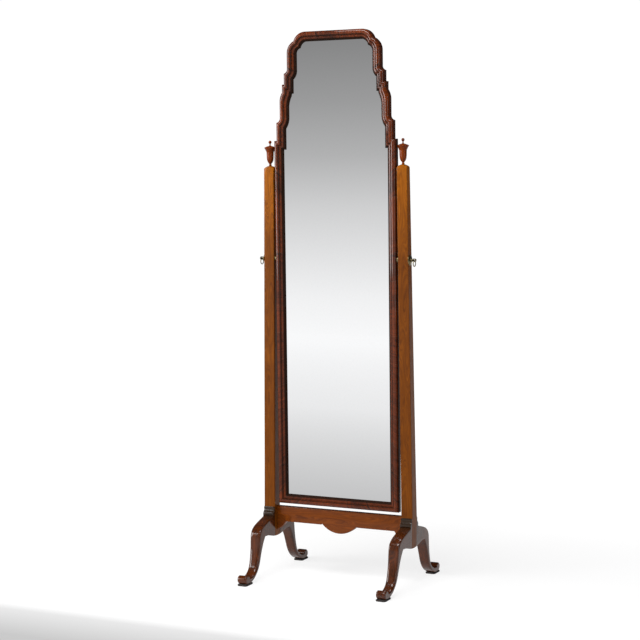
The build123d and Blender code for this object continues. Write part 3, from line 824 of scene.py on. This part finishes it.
class Finishes:
    """Every finish of the object, built once."""

    def __init__(self) -> None:
        """Builds the materials."""
        patterns = Patterns()
        # The posts carry painted shade, darker towards the bottom.
        self.upright = WoodFinish(
            "golden_walnut", srgb(160, 92, 12), srgb(98, 49, 3), foot=(0.55, 0.50, 0.60), painted_low_shade_height=1.0,
            painted_low_shade_fade_height=1.25, mottle=0.35, coat=0.12,
        ).build(patterns)
        self.frame = WoodFinish(
            "banded_walnut", srgb(122, 50, 7), srgb(26, 8, 3), grain=Grain.BANDED, streaks=85, mottle=0.45,
            roughness=0.3, coat=0.5, pores=0.2,
        ).build(patterns)
        # The legs carry painted shade on their moulded tops.
        self.leg = WoodFinish(
            "leg_walnut", srgb(96, 42, 4), srgb(22, 8, 2), streaks=45, mottle=0.4, roughness=0.28, coat=0.6,
            coat_roughness=0.12, pores=0.25, painted_top_shade_height=0.192,
        ).build(patterns)
        self.stretcher = WoodFinish(
            "stretcher_walnut", srgb(122, 60, 10), srgb(72, 31, 5), grain=Grain.ACROSS, streaks=45,
        ).build(patterns)
        self.finial = WoodFinish(
            "turned_walnut", srgb(138, 58, 3), srgb(38, 11, 2), streaks=90, roughness=0.28, coat=0.16,
            pores=0.2,
        ).build(patterns)
        self.board = WoodFinish(
            "plain_board", srgb(160, 124, 86), srgb(116, 82, 52), streaks=26, mottle=0.5, roughness=0.55,
            coat=0.0,
        ).build(patterns)
        self.brass = MetalFinish(
            "old_brass", srgb(140, 126, 92), srgb(48, 44, 32), tarnish=0.8, roughness=0.26,
        ).build(patterns)
        self.steel = MetalFinish(
            "screw_steel", srgb(150, 148, 144), srgb(84, 80, 76), roughness=0.34,
        ).build(patterns)
        self.silver = MetalFinish(
            "looking_glass", (0.888, 0.892, 0.90), (0.864, 0.868, 0.876), roughness=0.004, spread=0.01,
        ).build(patterns)
        self.felt = FeltFinish("dark_felt", srgb(52, 44, 40), srgb(26, 22, 20)).build(patterns)


@dataclass
class Posts:
    """The two tapered posts, with their domed tops. Tapered sizes are (at the bottom, at the top)."""

    material: Material
    bottom: float = 120.0
    top: float = 1282.0
    outer: Point = (256.7, 243.0)
    width: Point = (37.2, 33.5)
    depth: Point = (37.2, 24.0)
    foot_outer: float = 249.8
    leg_middle: float = 150.0
    leg_top: float = 214.0
    levels: tuple[float, ...] = (400.0, 700.0, 1000.0)
    shoulder: float = 14.0
    rim: tuple[Point, ...] = ((1.0, 0.7), (0.985, 0.15))
    dome_shares: tuple[float, ...] = (0.95, 0.8, 0.6, 0.4, 0.2, 0.05)
    dome_radius: float = 28.0
    dome_rise: float = 9.0
    belly_radius: float = 150.0
    edge: float = 1.3
    side_steps: int = 8

    def taper(self, height: float, ends: Point) -> float:
        """A size at a height, from its values at the bottom and at the top."""
        return ends[0] + (ends[1] - ends[0]) * (height - self.bottom) / (self.top - self.bottom)

    def outer_at(self, height: float) -> float:
        """Finds where the outer face stands. Below the leg's top it follows the leg.

        Args:
            height: the height to look at.

        Returns:
            The face's distance from the object's middle.
        """
        if height >= self.leg_top:
            return self.taper(height, self.outer)
        share = height / self.leg_top
        return self.foot_outer + (self.taper(self.leg_top, self.outer) - self.foot_outer) * share

    def inner_at(self, height: float) -> float:
        """Where the inner face stands at a height."""
        return self.taper(height, self.outer) - self.taper(height, self.width)

    def dome(self, x: float, y: float) -> float:
        """Height of the turned top at a place measured from the post's middle."""
        fall = self.dome_radius - math.sqrt(self.dome_radius ** 2 - x * x - y * y)
        return self.top + self.dome_rise - fall

    def ring(self, height: float, share: float = 1.0, drop: float | None = None) -> list[Vector]:
        """Draws a section of the post.

        Args:
            height: where it lies.
            share: its size, as a share of the whole section.
            drop: how far it lies under the dome, or None where it is level.

        Returns:
            The section's points.
        """
        outer, inner = self.outer_at(height), self.inner_at(height)
        sizes = ((outer - inner) / 2, self.taper(height, self.depth) / 2, self.edge, self.edge)
        loop = rounded_rectangle(*(size * share for size in sizes), self.side_steps)
        middle = (outer + inner) / 2
        return [Vector((middle + x, y, height if drop is None else self.dome(x, y) - drop)) for x, y in loop]

    def build(self) -> None:
        """Builds both posts."""
        for side in Side:
            heights = (self.bottom, self.leg_middle, self.leg_top, *self.levels, self.top - self.shoulder)
            rings = [self.ring(height) for height in heights]
            for point in rings[0]:
                point.z += self.belly_radius - math.sqrt(self.belly_radius ** 2 - point.y ** 2)
            rings += [self.ring(self.top, share, drop) for share, drop in self.rim]
            rings += [self.ring(self.top, share, 0.0) for share in self.dome_shares]
            mesh = Mesh()
            mesh.loft(rings, [ring[0].z for ring in rings])
            name = f"{side.word}_upright"
            mesh.finish(f"{name}_polished", "stand", self.material, "upright_wood", (name,), side)


@dataclass
class Finials:
    """The turned urns on the posts.

    Points of the outline are (radius, height over the post). A turn is an arc, given as (a point on
    it, its end, its steps, the points that follow it).
    """

    material: Material
    seat: float = 1291.0
    centre: float = 226.25
    foot: tuple[Point, ...] = (
        (0.01, -20.0), (3.0, -20.0), (3.0, 0.05), (4.6, 0.05), (4.8, 1.2), (4.4, 2.2), (3.6, 3.4),
    )
    urn: tuple[Point, ...] = (
        (3.5, 6.4), (6.4, 9.6), (9.2, 15.0), (10.5, 22.0), (11.0, 30.0), (11.2, 38.0), (11.3, 41.5),
    )
    urn_steps: int = 4
    turns: tuple[tuple[Point, Point, int, tuple[Point, ...]], ...] = (
        ((15.2, 50.5), (18.0, 55.0), 8, ((18.3, 55.5), (18.3, 56.4), (17.9, 56.9))),
        ((9.4, 60.6), (3.2, 62.2), 7, ((2.6, 63.0), (2.0, 64.0), (1.9, 67.5), (2.2, 68.9))),
        ((4.9, 73.6), (0.01, 78.5), 12, ()),
    )
    round_steps: int = 48
    sharp: float = 40

    def profile(self) -> list[Point]:
        """Draws the turned outline.

        Returns:
            Its points, from the foot's peg to the knob.
        """
        outline = [*self.foot, *smooth(self.urn, self.urn_steps)]
        for middle, end, steps, following in self.turns:
            outline += [*arc(outline[-1], middle, end, steps), *following]
        return outline

    def build(self) -> None:
        """Builds both finials."""
        axis, seat = Vector((0, 0, 1)), Vector((self.centre, 0, self.seat))
        for side in Side:
            mesh = Mesh()
            mesh.spin(self.profile(), axis, seat, self.round_steps)
            name = f"{side.word}_finial"
            mesh.finish(f"{name}_turned", "stand", self.material, "finial_wood", (name,), side,
                        sharp=self.sharp)


@dataclass
class Legs:
    """The four curved legs, with a moulded top, a high knee and a rolled toe.

    A leg is a row of sections from the post to the toe. Each is (distance from the middle and
    height of its upper point, the same of its lower point, upper and lower corner radius). The
    moulding's sections all have the same corners, so those are given once.
    """

    material: Material
    posts: Posts
    foot_inner: float = 219.2
    moulding: Rows = (
        (18.0, 214.0, 18.0, 121.0), (19.4, 214.0, 18.6, 121.1), (20.5, 213.5, 19.2, 121.2),
        (21.0, 212.4, 19.8, 121.3), (20.5, 211.3, 20.4, 121.4), (20.0, 210.8, 21.0, 121.5),
        (20.6, 206.6, 21.8, 121.6), (22.0, 202.0, 22.6, 121.7), (25.0, 198.0, 23.4, 121.8),
        (27.4, 197.0, 24.2, 122.0), (28.7, 194.4, 25.0, 122.1), (28.9, 191.0, 25.8, 122.2),
        (28.0, 188.0, 26.6, 122.4), (26.6, 186.6, 27.4, 122.5), (26.0, 185.2, 28.2, 122.7),
    )
    moulding_corners: Point = (0.8, 0.8)
    sweep: Rows = (
        (28.6, 184.4, 29.0, 122.8, 1.2, 0.8), (38.0, 181.4, 38.0, 124.9, 1.8, 1.0),
        (62.0, 175.0, 60.0, 130.0, 2.4, 1.4), (90.0, 166.4, 74.0, 131.0, 3.2, 2.0),
        (108.5, 155.5, 81.0, 130.4, 4.0, 3.0), (117.6, 141.5, 86.4, 122.6, 4.6, 4.0),
        (121.2, 124.0, 92.5, 113.0, 5.2, 4.6), (125.0, 100.0, 102.0, 93.5, 6.4, 5.6),
        (131.4, 73.0, 110.0, 71.5, 7.4, 6.6), (138.8, 50.0, 119.0, 48.5, 7.4, 6.6),
        (147.0, 36.5, 134.0, 28.5, 6.6, 5.4), (160.0, 26.0, 155.0, 13.5, 5.0, 3.6),
        (175.0, 20.8, 177.0, 5.6, 3.4, 2.4), (186.4, 19.8, 189.0, 5.0, 2.0, 2.4),
    )
    sweep_steps: int = 4
    toe_centre: Point = (201.0, 18.0)
    toe_radius: float = 13.0
    toe_start: float = -88
    toe_turn: float = 246
    toe_steps: int = 14
    toe_corners: Point = (0.6, 4.6)
    crease: Point = (189.0, 19.8)
    crease_slip: float = 0.06
    crease_rise: float = 1.4
    least_half: float = 0.4
    side_steps: int = 6
    section_length: float = 6.0
    sharp: float = 38

    def width_at(self, height: float) -> Point:
        """Finds where the two sides of a leg stand.

        Args:
            height: the height to look at.

        Returns:
            The distances of the inner and the outer side from the object's middle.
        """
        posts = self.posts
        share = min(max(height / posts.leg_top, 0.0), 1.0)
        inner = self.foot_inner + (posts.inner_at(posts.leg_top) - self.foot_inner) * share
        return inner, posts.outer_at(min(height, posts.leg_top))

    def sections(self) -> list[tuple[float, ...]]:
        """Lays out the sections of a leg, the toe's roll included.

        Returns:
            The sections, from the post to the toe.
        """
        rows = [(*row, *self.moulding_corners) for row in self.moulding]
        rows += smooth(self.sweep, self.sweep_steps)
        for step in range(self.toe_steps + 1):
            angle = math.radians(self.toe_start + self.toe_turn * step / self.toe_steps)
            reach = self.toe_centre[0] + self.toe_radius * math.cos(angle)
            height = self.toe_centre[1] + self.toe_radius * math.sin(angle)
            lift = self.crease_rise * step / self.toe_steps
            slip = self.crease_slip * step
            rows.append((self.crease[0] - slip, self.crease[1] + lift, reach, height, *self.toe_corners))
        return rows

    def ring(self, row: tuple[float, ...]) -> list[Vector]:
        """Draws one section of the front right leg.

        Args:
            row: the section.

        Returns:
            Its points, round the line between its upper and its lower point.
        """
        upper, lower = Vector(row[0:2]), Vector(row[2:4])
        middle, half = (upper + lower) / 2, (upper - lower) / 2
        depth = max(half.length, self.least_half)
        inner, outer = self.width_at(middle.y)
        half_width = (outer - inner) / 2
        points = []
        for x, along in rounded_rectangle(half_width, depth, row[5], row[4], self.side_steps):
            spot = middle + half * (along / depth)
            inner, outer = self.width_at(spot.y)
            x = (inner + outer) / 2 + x / half_width * (outer - inner) / 2
            points.append(Vector((x, -spot.x, spot.y)))
        return points

    def build(self) -> None:
        """Builds the four legs."""
        for corner, side, back in corners():
            rings = [self.ring(row) for row in self.sections()]
            mesh = Mesh()
            mesh.loft(rings, [k * self.section_length for k in range(len(rings))])
            name = f"{corner}_leg"
            mesh.finish(f"{name}_carved", "stand", self.material, "leg_wood", (name,), side, back, self.sharp)


@dataclass
class Pads:
    """The thin pads under the feet. A layer is (its height, how far its rim is drawn in)."""

    material: Material
    centre: Point = (234.2, 190.7)
    size: Point = (32.8, 47.8)
    layers: tuple[Point, ...] = ((0.0, 0.4), (0.4, 0.0), (4.2, 0.0), (4.8, 0.3), (5.0, 0.8))
    corner: float = 7.0
    side_steps: int = 4

    def build(self) -> None:
        """Builds the four pads."""
        for corner, side, back in corners():
            rings = []
            for height, inset in self.layers:
                halves = (length / 2 - inset for length in self.size)
                loop = rounded_rectangle(*halves, self.corner, self.corner, self.side_steps)
                rings.append([Vector((self.centre[0] + x, y - self.centre[1], height)) for x, y in loop])
            mesh = Mesh()
            mesh.loft(rings, [height for height, inset in self.layers])
            name = f"{corner}_pad"
            mesh.finish(f"{name}_felt", "stand", self.material, "pad", (name,), side, back)


@dataclass
class Stretcher:
    """The shaped board between the posts, with a bracket at each end and a round pendant."""

    material: Material
    posts: Posts
    top: float = 214.5
    bottom: float = 166.5
    front: float = -3.2
    thickness: float = 19.5
    bracket_tip: float = 138.5
    bracket_middle: Point = (203.5, 148.5)
    bracket_start: float = 188.0
    bracket_steps: int = 10
    pendant_half: float = 59.0
    pendant_shoulder: float = 4.0
    pendant_bottom: float = 142.5
    pendant_steps: int = 32
    cusp: float = 169.0
    edge: float = 1.4
    edge_steps: int = 3

    def outline(self) -> list[Point]:
        """Draws the board's front view.

        Returns:
            Its points, clockwise from the top right corner.
        """
        half, inner = self.pendant_half, self.posts.inner_at
        right = [(inner(self.top), self.top), (inner(self.bracket_tip), self.bracket_tip)]
        right += arc(right[-1], self.bracket_middle, (self.bracket_start, self.bottom), self.bracket_steps)
        right += [(half + self.pendant_shoulder, self.bottom), (half, self.cusp)]
        pendant = arc((half, self.cusp), (0, self.pendant_bottom), (-half, self.cusp), self.pendant_steps)
        return right + pendant + [(-x, z) for x, z in reversed(right[:-1])]

    def build(self) -> None:
        """Builds the board. Its tenons are hidden in the posts, so they are left out."""
        mesh, level = Mesh(), 0.01
        mesh.board(self.outline(), self.front, self.thickness)
        rims = [edge for edge in mesh.bm.edges if abs(edge.verts[0].co.y - edge.verts[1].co.y) < level]
        bmesh.ops.bevel(mesh.bm, geom=rims, offset=self.edge, offset_type="OFFSET", segments=self.edge_steps,
                        profile=0.5, affect="EDGES", material=-1, clamp_overlap=True)
        mesh.finish("stretcher_shaped", "stand", self.material, "stretcher_wood", ("stretcher",))


@dataclass
class MirrorFrame:
    """The moulded frame, as six lengths that meet at mitres.

    The crest's rows run from its middle down to the shoulder. Each has a point on the outer edge and
    one on the sight edge, as (inset from the side, drop from the top), and where it ends a curve also
    the middle points of the two curves. Points of the section are (share of the face, depth).
    """

    material: Material
    half_width: float = 206.0
    top: float = 1700.0
    bottom: float = 227.0
    back: float = 9.0
    face: float = 29.8
    rows: tuple[tuple[Point, ...], ...] = (
        ((109.4, 0.0), (109.3, 30.0)),
        ((71.4, 27.0), (91.8, 49.0), (86.8, 7.0), (99.3, 35.5)),
        ((47.6, 64.0), (78.0, 66.0), (55.6, 40.0), (82.4, 54.5)),
        ((47.6, 110.0), (78.0, 115.0)),
        ((36.4, 125.5), (65.8, 144.0), (43.8, 121.5), (74.7, 132.5)),
        ((36.4, 159.0), (65.6, 187.0)),
        ((29.5, 159.0), (59.5, 188.0)),
        ((29.5, 183.0), (58.5, 195.0)),
        ((20.6, 209.0), (49.4, 226.0), (23.8, 194.5), (52.4, 210.0)),
        ((20.6, 261.0), (49.4, 262.0)),
        ((8.2, 276.0), (38.0, 295.0), (16.2, 272.0), (45.6, 281.0)),
        ((8.2, 332.0), (38.0, 359.5)),
        ((0.0, 332.0), (29.8, 359.5)),
    )
    curve_steps: int = 9
    crown: tuple[Point, ...] = (
        (0.0, -8.5), (0.03, -11.6), (0.10, -14.4), (0.19, -16.0), (0.30, -16.5), (0.42, -15.5), (0.51, -13.2),
        (0.56, -11.0),
    )
    quirk: tuple[Point, ...] = ((0.575, -10.0), (0.595, -10.0))
    slope: tuple[Point, ...] = ((0.61, -10.85), (0.74, -9.7), (0.86, -7.1), (0.95, -4.0), (0.985, -2.2))
    section_steps: int = 3
    outer_depth: float = 2.0
    sight_depth: float = -1.7
    rebate: Point = (0.68, -0.5)
    ridge: int = 8
    least_step: float = 0.01
    sharp: float = 30

    def section(self) -> list[Point]:
        """Draws the moulding's section.

        Returns:
            Its points, from the outer back edge over the crown and round to the rebate.
        """
        side = [(0.0, self.back), (0.0, self.outer_depth)]
        crown, slope = (smooth(run, self.section_steps) for run in (self.crown, self.slope))
        sight = [(1.0, self.sight_depth), (1.0, self.rebate[1]), self.rebate, (self.rebate[0], self.back)]
        return side + crown + list(self.quirk) + slope + sight

    def stations(self, first: int, last: int) -> list[tuple[Point, Point]]:
        """Pairs of outer and sight points on the right half of the crest.

        Args:
            first, last: the rows that the stretch starts and ends at.

        Returns:
            The pairs, as (inset, drop) each.
        """
        pairs = [self.rows[first][:2]]
        for outer, sight, *middles in self.rows[first + 1:last + 1]:
            if middles:
                curves = zip(pairs[-1], middles, (outer, sight))
                pairs += zip(*(arc(start, middle, end, self.curve_steps) for start, middle, end in curves))
            else:
                pairs.append((outer, sight))
        return pairs

    def on_face(self, pair: tuple[Point, Point]) -> tuple[Point, Point]:
        """An outer and a sight point, turned from insets and drops into places on the right half."""
        return tuple((self.half_width - inset, self.top - drop) for inset, drop in pair)

    def length(self, pairs: list[tuple[Point, Point]], node: str, side: Side = Side.RIGHT) -> None:
        """Builds one length of the moulding.

        Args:
            pairs: outer and sight points along it, as (x, z) on the right half.
            node: the node that it stands for.
            side: the half that it belongs to.
        """
        section = self.section()
        places = [(share * self.face, depth) for share, depth in section]
        across = [0.0]
        for before, after in zip(places, places[1:] + places[:1]):
            across.append(across[-1] + math.dist(before, after))
        rings = []
        for outer, sight in pairs:
            spots = [(part_way(outer, sight, share), depth) for share, depth in section]
            rings.append([Vector((x, depth, z)) for (x, z), depth in spots])
        along, ridge = [0.0], self.ridge
        for before, after in zip(rings, rings[1:]):
            along.append(along[-1] + max((before[ridge] - after[ridge]).length, self.least_step))
        mesh = Mesh()
        mesh.loft(rings, along, across)
        mesh.finish(f"{node}_moulding", "mirror", self.material, "frame_wood", (node,), side,
                    sharp=self.sharp)

    def build(self) -> None:
        """Builds the six lengths."""
        half_top = [self.on_face(pair) for pair in self.stations(0, 1)]
        mirrored = [tuple((-x, z) for x, z in pair) for pair in reversed(half_top)]
        self.length(mirrored + half_top, "top_rail")
        crest = [self.on_face(pair) for pair in self.stations(1, len(self.rows) - 1)]
        corner = ((self.half_width, self.bottom), (self.half_width - self.face, self.bottom + self.face))
        for side in Side:
            self.length(crest, f"{side.word}_crest", side)
            self.length([crest[-1], corner], f"{side.word}_stile", side)
        self.length([corner, tuple((-x, z) for x, z in corner)], "bottom_rail")


@dataclass
class LookingGlass:
    """The silvered plate in the frame's rebate."""

    material: Material
    moulding: MirrorFrame
    share: float = 0.72
    front: float = -1.0
    thickness: float = 4.0
    least_step: float = 0.05

    def outline(self) -> list[Point]:
        """Draws the plate's front view.

        Returns:
            Its points, from the lower right corner up over the head and down the left.
        """
        moulding = self.moulding
        inset = moulding.face * self.share
        right = [(moulding.half_width - inset, moulding.bottom + inset)]
        for pair in reversed(moulding.stations(0, len(moulding.rows) - 1)):
            point = part_way(*moulding.on_face(pair), self.share)
            if math.dist(point, right[-1]) > self.least_step:
                right.append(point)
        return right + [(-x, z) for x, z in reversed(right)]

    def build(self) -> None:
        """Builds the plate."""
        mesh = Mesh()
        mesh.board(self.outline(), self.front, self.thickness)
        mesh.finish("looking_glass_plate", "mirror", self.material, "looking_glass", ("mirror_glass",))


@dataclass
class Fittings:
    """The brass fittings and the plain pieces, whose shape is the frame's own."""

    finishes: Finishes
    merge_reach: float = 1e-6
    sharp: float = 35

    def merged(self, node: str) -> bpy.types.Mesh:
        """Copies a node's mesh, merges its points and clears the normals that it carries.

        Args:
            node: the node.

        Returns:
            The copy.
        """
        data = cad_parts[node].data.copy()
        if "custom_normal" in data.attributes:
            data.attributes.remove(data.attributes["custom_normal"])
        bm = bmesh.new()
        bm.from_mesh(data)
        bmesh.ops.remove_doubles(bm, verts=bm.verts, dist=self.merge_reach)
        bm.to_mesh(data)
        bm.free()
        return data

    def smooth_brass(self, node: str, body: str) -> None:
        """Stands a merged copy of a brass node in its place, with smooth faces.

        Args:
            node: the node.
            body: the body that it moves with.
        """
        data = self.merged(node)
        data.shade_smooth()
        data.set_sharp_from_angle(angle=math.radians(self.sharp))
        place(f"{node}_brass", data, body, self.finishes.brass, "brass", (node,))

    def build(self) -> None:
        """Dresses the fittings and the hidden pieces."""
        for side in Side:
            for part in ("rose", "spacer"):
                self.smooth_brass(f"{side.word}_{part}", "stand")
            for part in ("screw", "ring"):
                self.smooth_brass(f"{side.word}_{part}", f"{side.word}_{part}")
        self.smooth_brass("rose_pins", "stand")
        plain = (
            (self.finishes.brass, ("left_bush", "right_bush", "left_socket", "right_socket")),
            (self.finishes.steel, ("socket_screws", "backboard_screws")),
            (self.finishes.board, ("backboard", "glazing_blocks", "leg_dowels")),
        )
        for material, nodes in plain:
            for node in nodes:
                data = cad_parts[node].data
                data.materials.clear()
                data.materials.append(material)
                log.info("%s: dressed as it is", node)


@dataclass(frozen=True)
class Lamp:
    """A soft, rectangular lamp. Its lengths are in metres and its power in watts."""

    name: str
    spot: Place
    aim: Place
    size: Point
    power: float

    def hang(self) -> None:
        """Hangs the lamp in the scene."""
        data = bpy.data.lights.new(self.name, "AREA")
        data.shape, data.energy = "RECTANGLE", self.power
        data.size, data.size_y = self.size
        light = stand(self.name, data)
        light.location = self.spot
        light.rotation_euler = (Vector(self.aim) - Vector(self.spot)).to_track_quat("-Z", "Y").to_euler()


@dataclass
class Studio:
    """A pale floor, soft light and the camera. Lengths are in metres, apart from the lens.

    A stretch of the floor is (its start, its end, the glow at its start, the glow at its end). The
    wall's stops are (share of its height, brightness).
    """

    camera_place: Place = (2.294, -4.739, 1.287)
    azimuth: float = 26.41
    pitch: float = 5.13
    roll: float = 0.69
    lens: float = 96.13
    sensor: float = 36
    farthest: float = 60
    floor_half: float = 14
    floor_near: Rows = ((-3.4, -1.0, 0.30, 0.0), (-6.4, -3.4, 0.67, 0.54))
    floor_beyond: Rows = ((-0.95, -0.65, 0.0, 0.727), (0.3, 2.2, 0.0, 0.20))
    floor_glow: float = 1.1
    floor_grey: float = 0.23
    floor_roughness: float = 0.8
    wall: tuple[Place, ...] = ((-9, -7, 0), (5, -7, 0), (5, -7, 6), (-9, -7, 6))
    wall_reach: float = 2.4
    wall_stops: tuple[Point, ...] = (
        (0.0, 1.06), (0.12, 0.99), (0.25, 0.86), (0.41, 0.70), (0.57, 0.50), (0.74, 0.37), (0.92, 0.275),
        (1.0, 0.25),
    )
    lamps: tuple[Lamp, ...] = (
        Lamp("overhead", (-0.2, -1.8, 3.9), (0, 0, 1.0), (2.2, 1.4), 120),
        Lamp("front", (0.6, -4.6, 4.2), (0, 0, 1.0), (0.8, 0.6), 15),
        Lamp("left", (-3.7, -3.1, 2.0), (0, 0, 1.0), (2.4, 2.8), 260),
        Lamp("right", (4.4, -2.2, 1.6), (0, 0, 0.8), (0.8, 2.4), 40),
    )
    air: Colour = (0.09, 0.09, 0.10)
    backdrop: Colour = (1.02, 1.02, 1.02)

    def build(self) -> None:
        """Sets up the whole studio."""
        self._camera()
        self._floor()
        self._wall()
        for lamp in self.lamps:
            lamp.hang()
        self._world()

    def _camera(self) -> None:
        """Stands the camera where the photographer stood."""
        azimuth, pitch, roll = (math.radians(angle) for angle in (self.azimuth, self.pitch, self.roll))
        level = math.cos(pitch)
        forward = Vector((-math.sin(azimuth) * level, math.cos(azimuth) * level, -math.sin(pitch)))
        right = Vector((math.cos(azimuth), math.sin(azimuth), 0))
        up = right.cross(forward)
        across = math.cos(roll) * right - math.sin(roll) * up
        upwards = math.sin(roll) * right + math.cos(roll) * up
        turn = Matrix((across, upwards, -forward)).transposed()
        data = bpy.data.cameras.new("camera")
        data.lens, data.sensor_width, data.clip_end = self.lens, self.sensor, self.farthest
        camera = stand("camera", data)
        camera.matrix_world = Matrix.Translation(self.camera_place) @ turn.to_4x4()
        bpy.context.scene.camera = camera

    def _sheet(self, name: str, outline: tuple[Place, ...], material: Material) -> None:
        """Adds a flat stage piece.

        Args:
            name: the piece's name.
            outline: its four corners.
            material: its finish.
        """
        bm = bmesh.new()
        bm.faces.new([bm.verts.new(corner) for corner in outline])
        data = bpy.data.meshes.new(name)
        bm.to_mesh(data)
        bm.free()
        data.materials.append(material)
        sheet = stand(name, data)

    def _floor(self) -> None:
        """Lays the floor. It is darker in front of the object, where only the glass sees it."""
        material, tree, shader = start_material("studio_floor")
        place_on = tree.add("ShaderNodeTexCoord").outputs["Object"]
        reach = tree.add("ShaderNodeSeparateXYZ", {0: place_on}).outputs["Y"]
        near, beyond = (
            tree.math("ADD", *(tree.ramp(reach, *stretch) for stretch in pair))
            for pair in (self.floor_near, self.floor_beyond)
        )
        glow = tree.math("MAXIMUM", near, beyond)
        matt = tree.ramp(reach, *self.floor_beyond[0][:2])
        black, white = (0, 0, 0), (1, 1, 1)
        tree.fill(shader, {
            "Base Color": tree.mix(matt, black, (self.floor_grey,) * 3),
            "Roughness": self.floor_roughness,
            "Specular IOR Level": 0.0,
            "Emission Color": tree.mix(glow, black, white),
            "Emission Strength": self.floor_glow,
        })
        half = self.floor_half
        outline = tuple((x * half, y * half, 0) for x, y in ((-1, -1), (1, -1), (1, 1), (-1, 1)))
        self._sheet("floor", outline, material)

    def _wall(self) -> None:
        """Hangs a glowing wall behind the camera, bright below and grey above, that the glass reflects."""
        material = bpy.data.materials.new("studio_wall")
        material.use_nodes = True
        tree = NodeTree(material.node_tree)
        tree.tree.nodes.remove(tree.tree.nodes["Principled BSDF"])
        place_on = tree.add("ShaderNodeTexCoord").outputs["Object"]
        height = tree.add("ShaderNodeSeparateXYZ", {0: place_on}).outputs["Z"]
        shade = tree.greys(tree.ramp(height, 0.0, self.wall_reach), self.wall_stops)
        glow = tree.add("ShaderNodeEmission", {"Color": shade, "Strength": 1.0})
        tree.fill(tree.tree.nodes["Material Output"], {"Surface": glow.outputs[0]})
        self._sheet("wall", self.wall, material)

    def _world(self) -> None:
        """Fills the room with soft light, and stands the object before white."""
        world = bpy.data.worlds.new("studio_air")
        world.use_nodes = True
        tree = NodeTree(world.node_tree)
        seen = tree.add("ShaderNodeLightPath").outputs["Is Camera Ray"]
        colour = tree.mix(seen, self.air, self.backdrop)
        tree.fill(tree.tree.nodes["Background"], {"Color": colour, "Strength": 1.0})
        bpy.context.scene.world = world
        bpy.context.scene.view_settings.view_transform = "Standard"


def main() -> None:
    """Builds the looks of the whole object and its studio."""
    logging.basicConfig(level=logging.INFO, format="%(message)s")
    finishes = Finishes()
    posts = Posts(finishes.upright)
    moulding = MirrorFrame(finishes.frame)
    parts = (
        posts, Finials(finishes.finial), Legs(finishes.leg, posts), Pads(finishes.felt),
        Stretcher(finishes.stretcher, posts), moulding, LookingGlass(finishes.silver, moulding),
        Fittings(finishes), Studio(),
    )
    for part in parts:
        part.build()


if __name__ == "__main__":
    main()
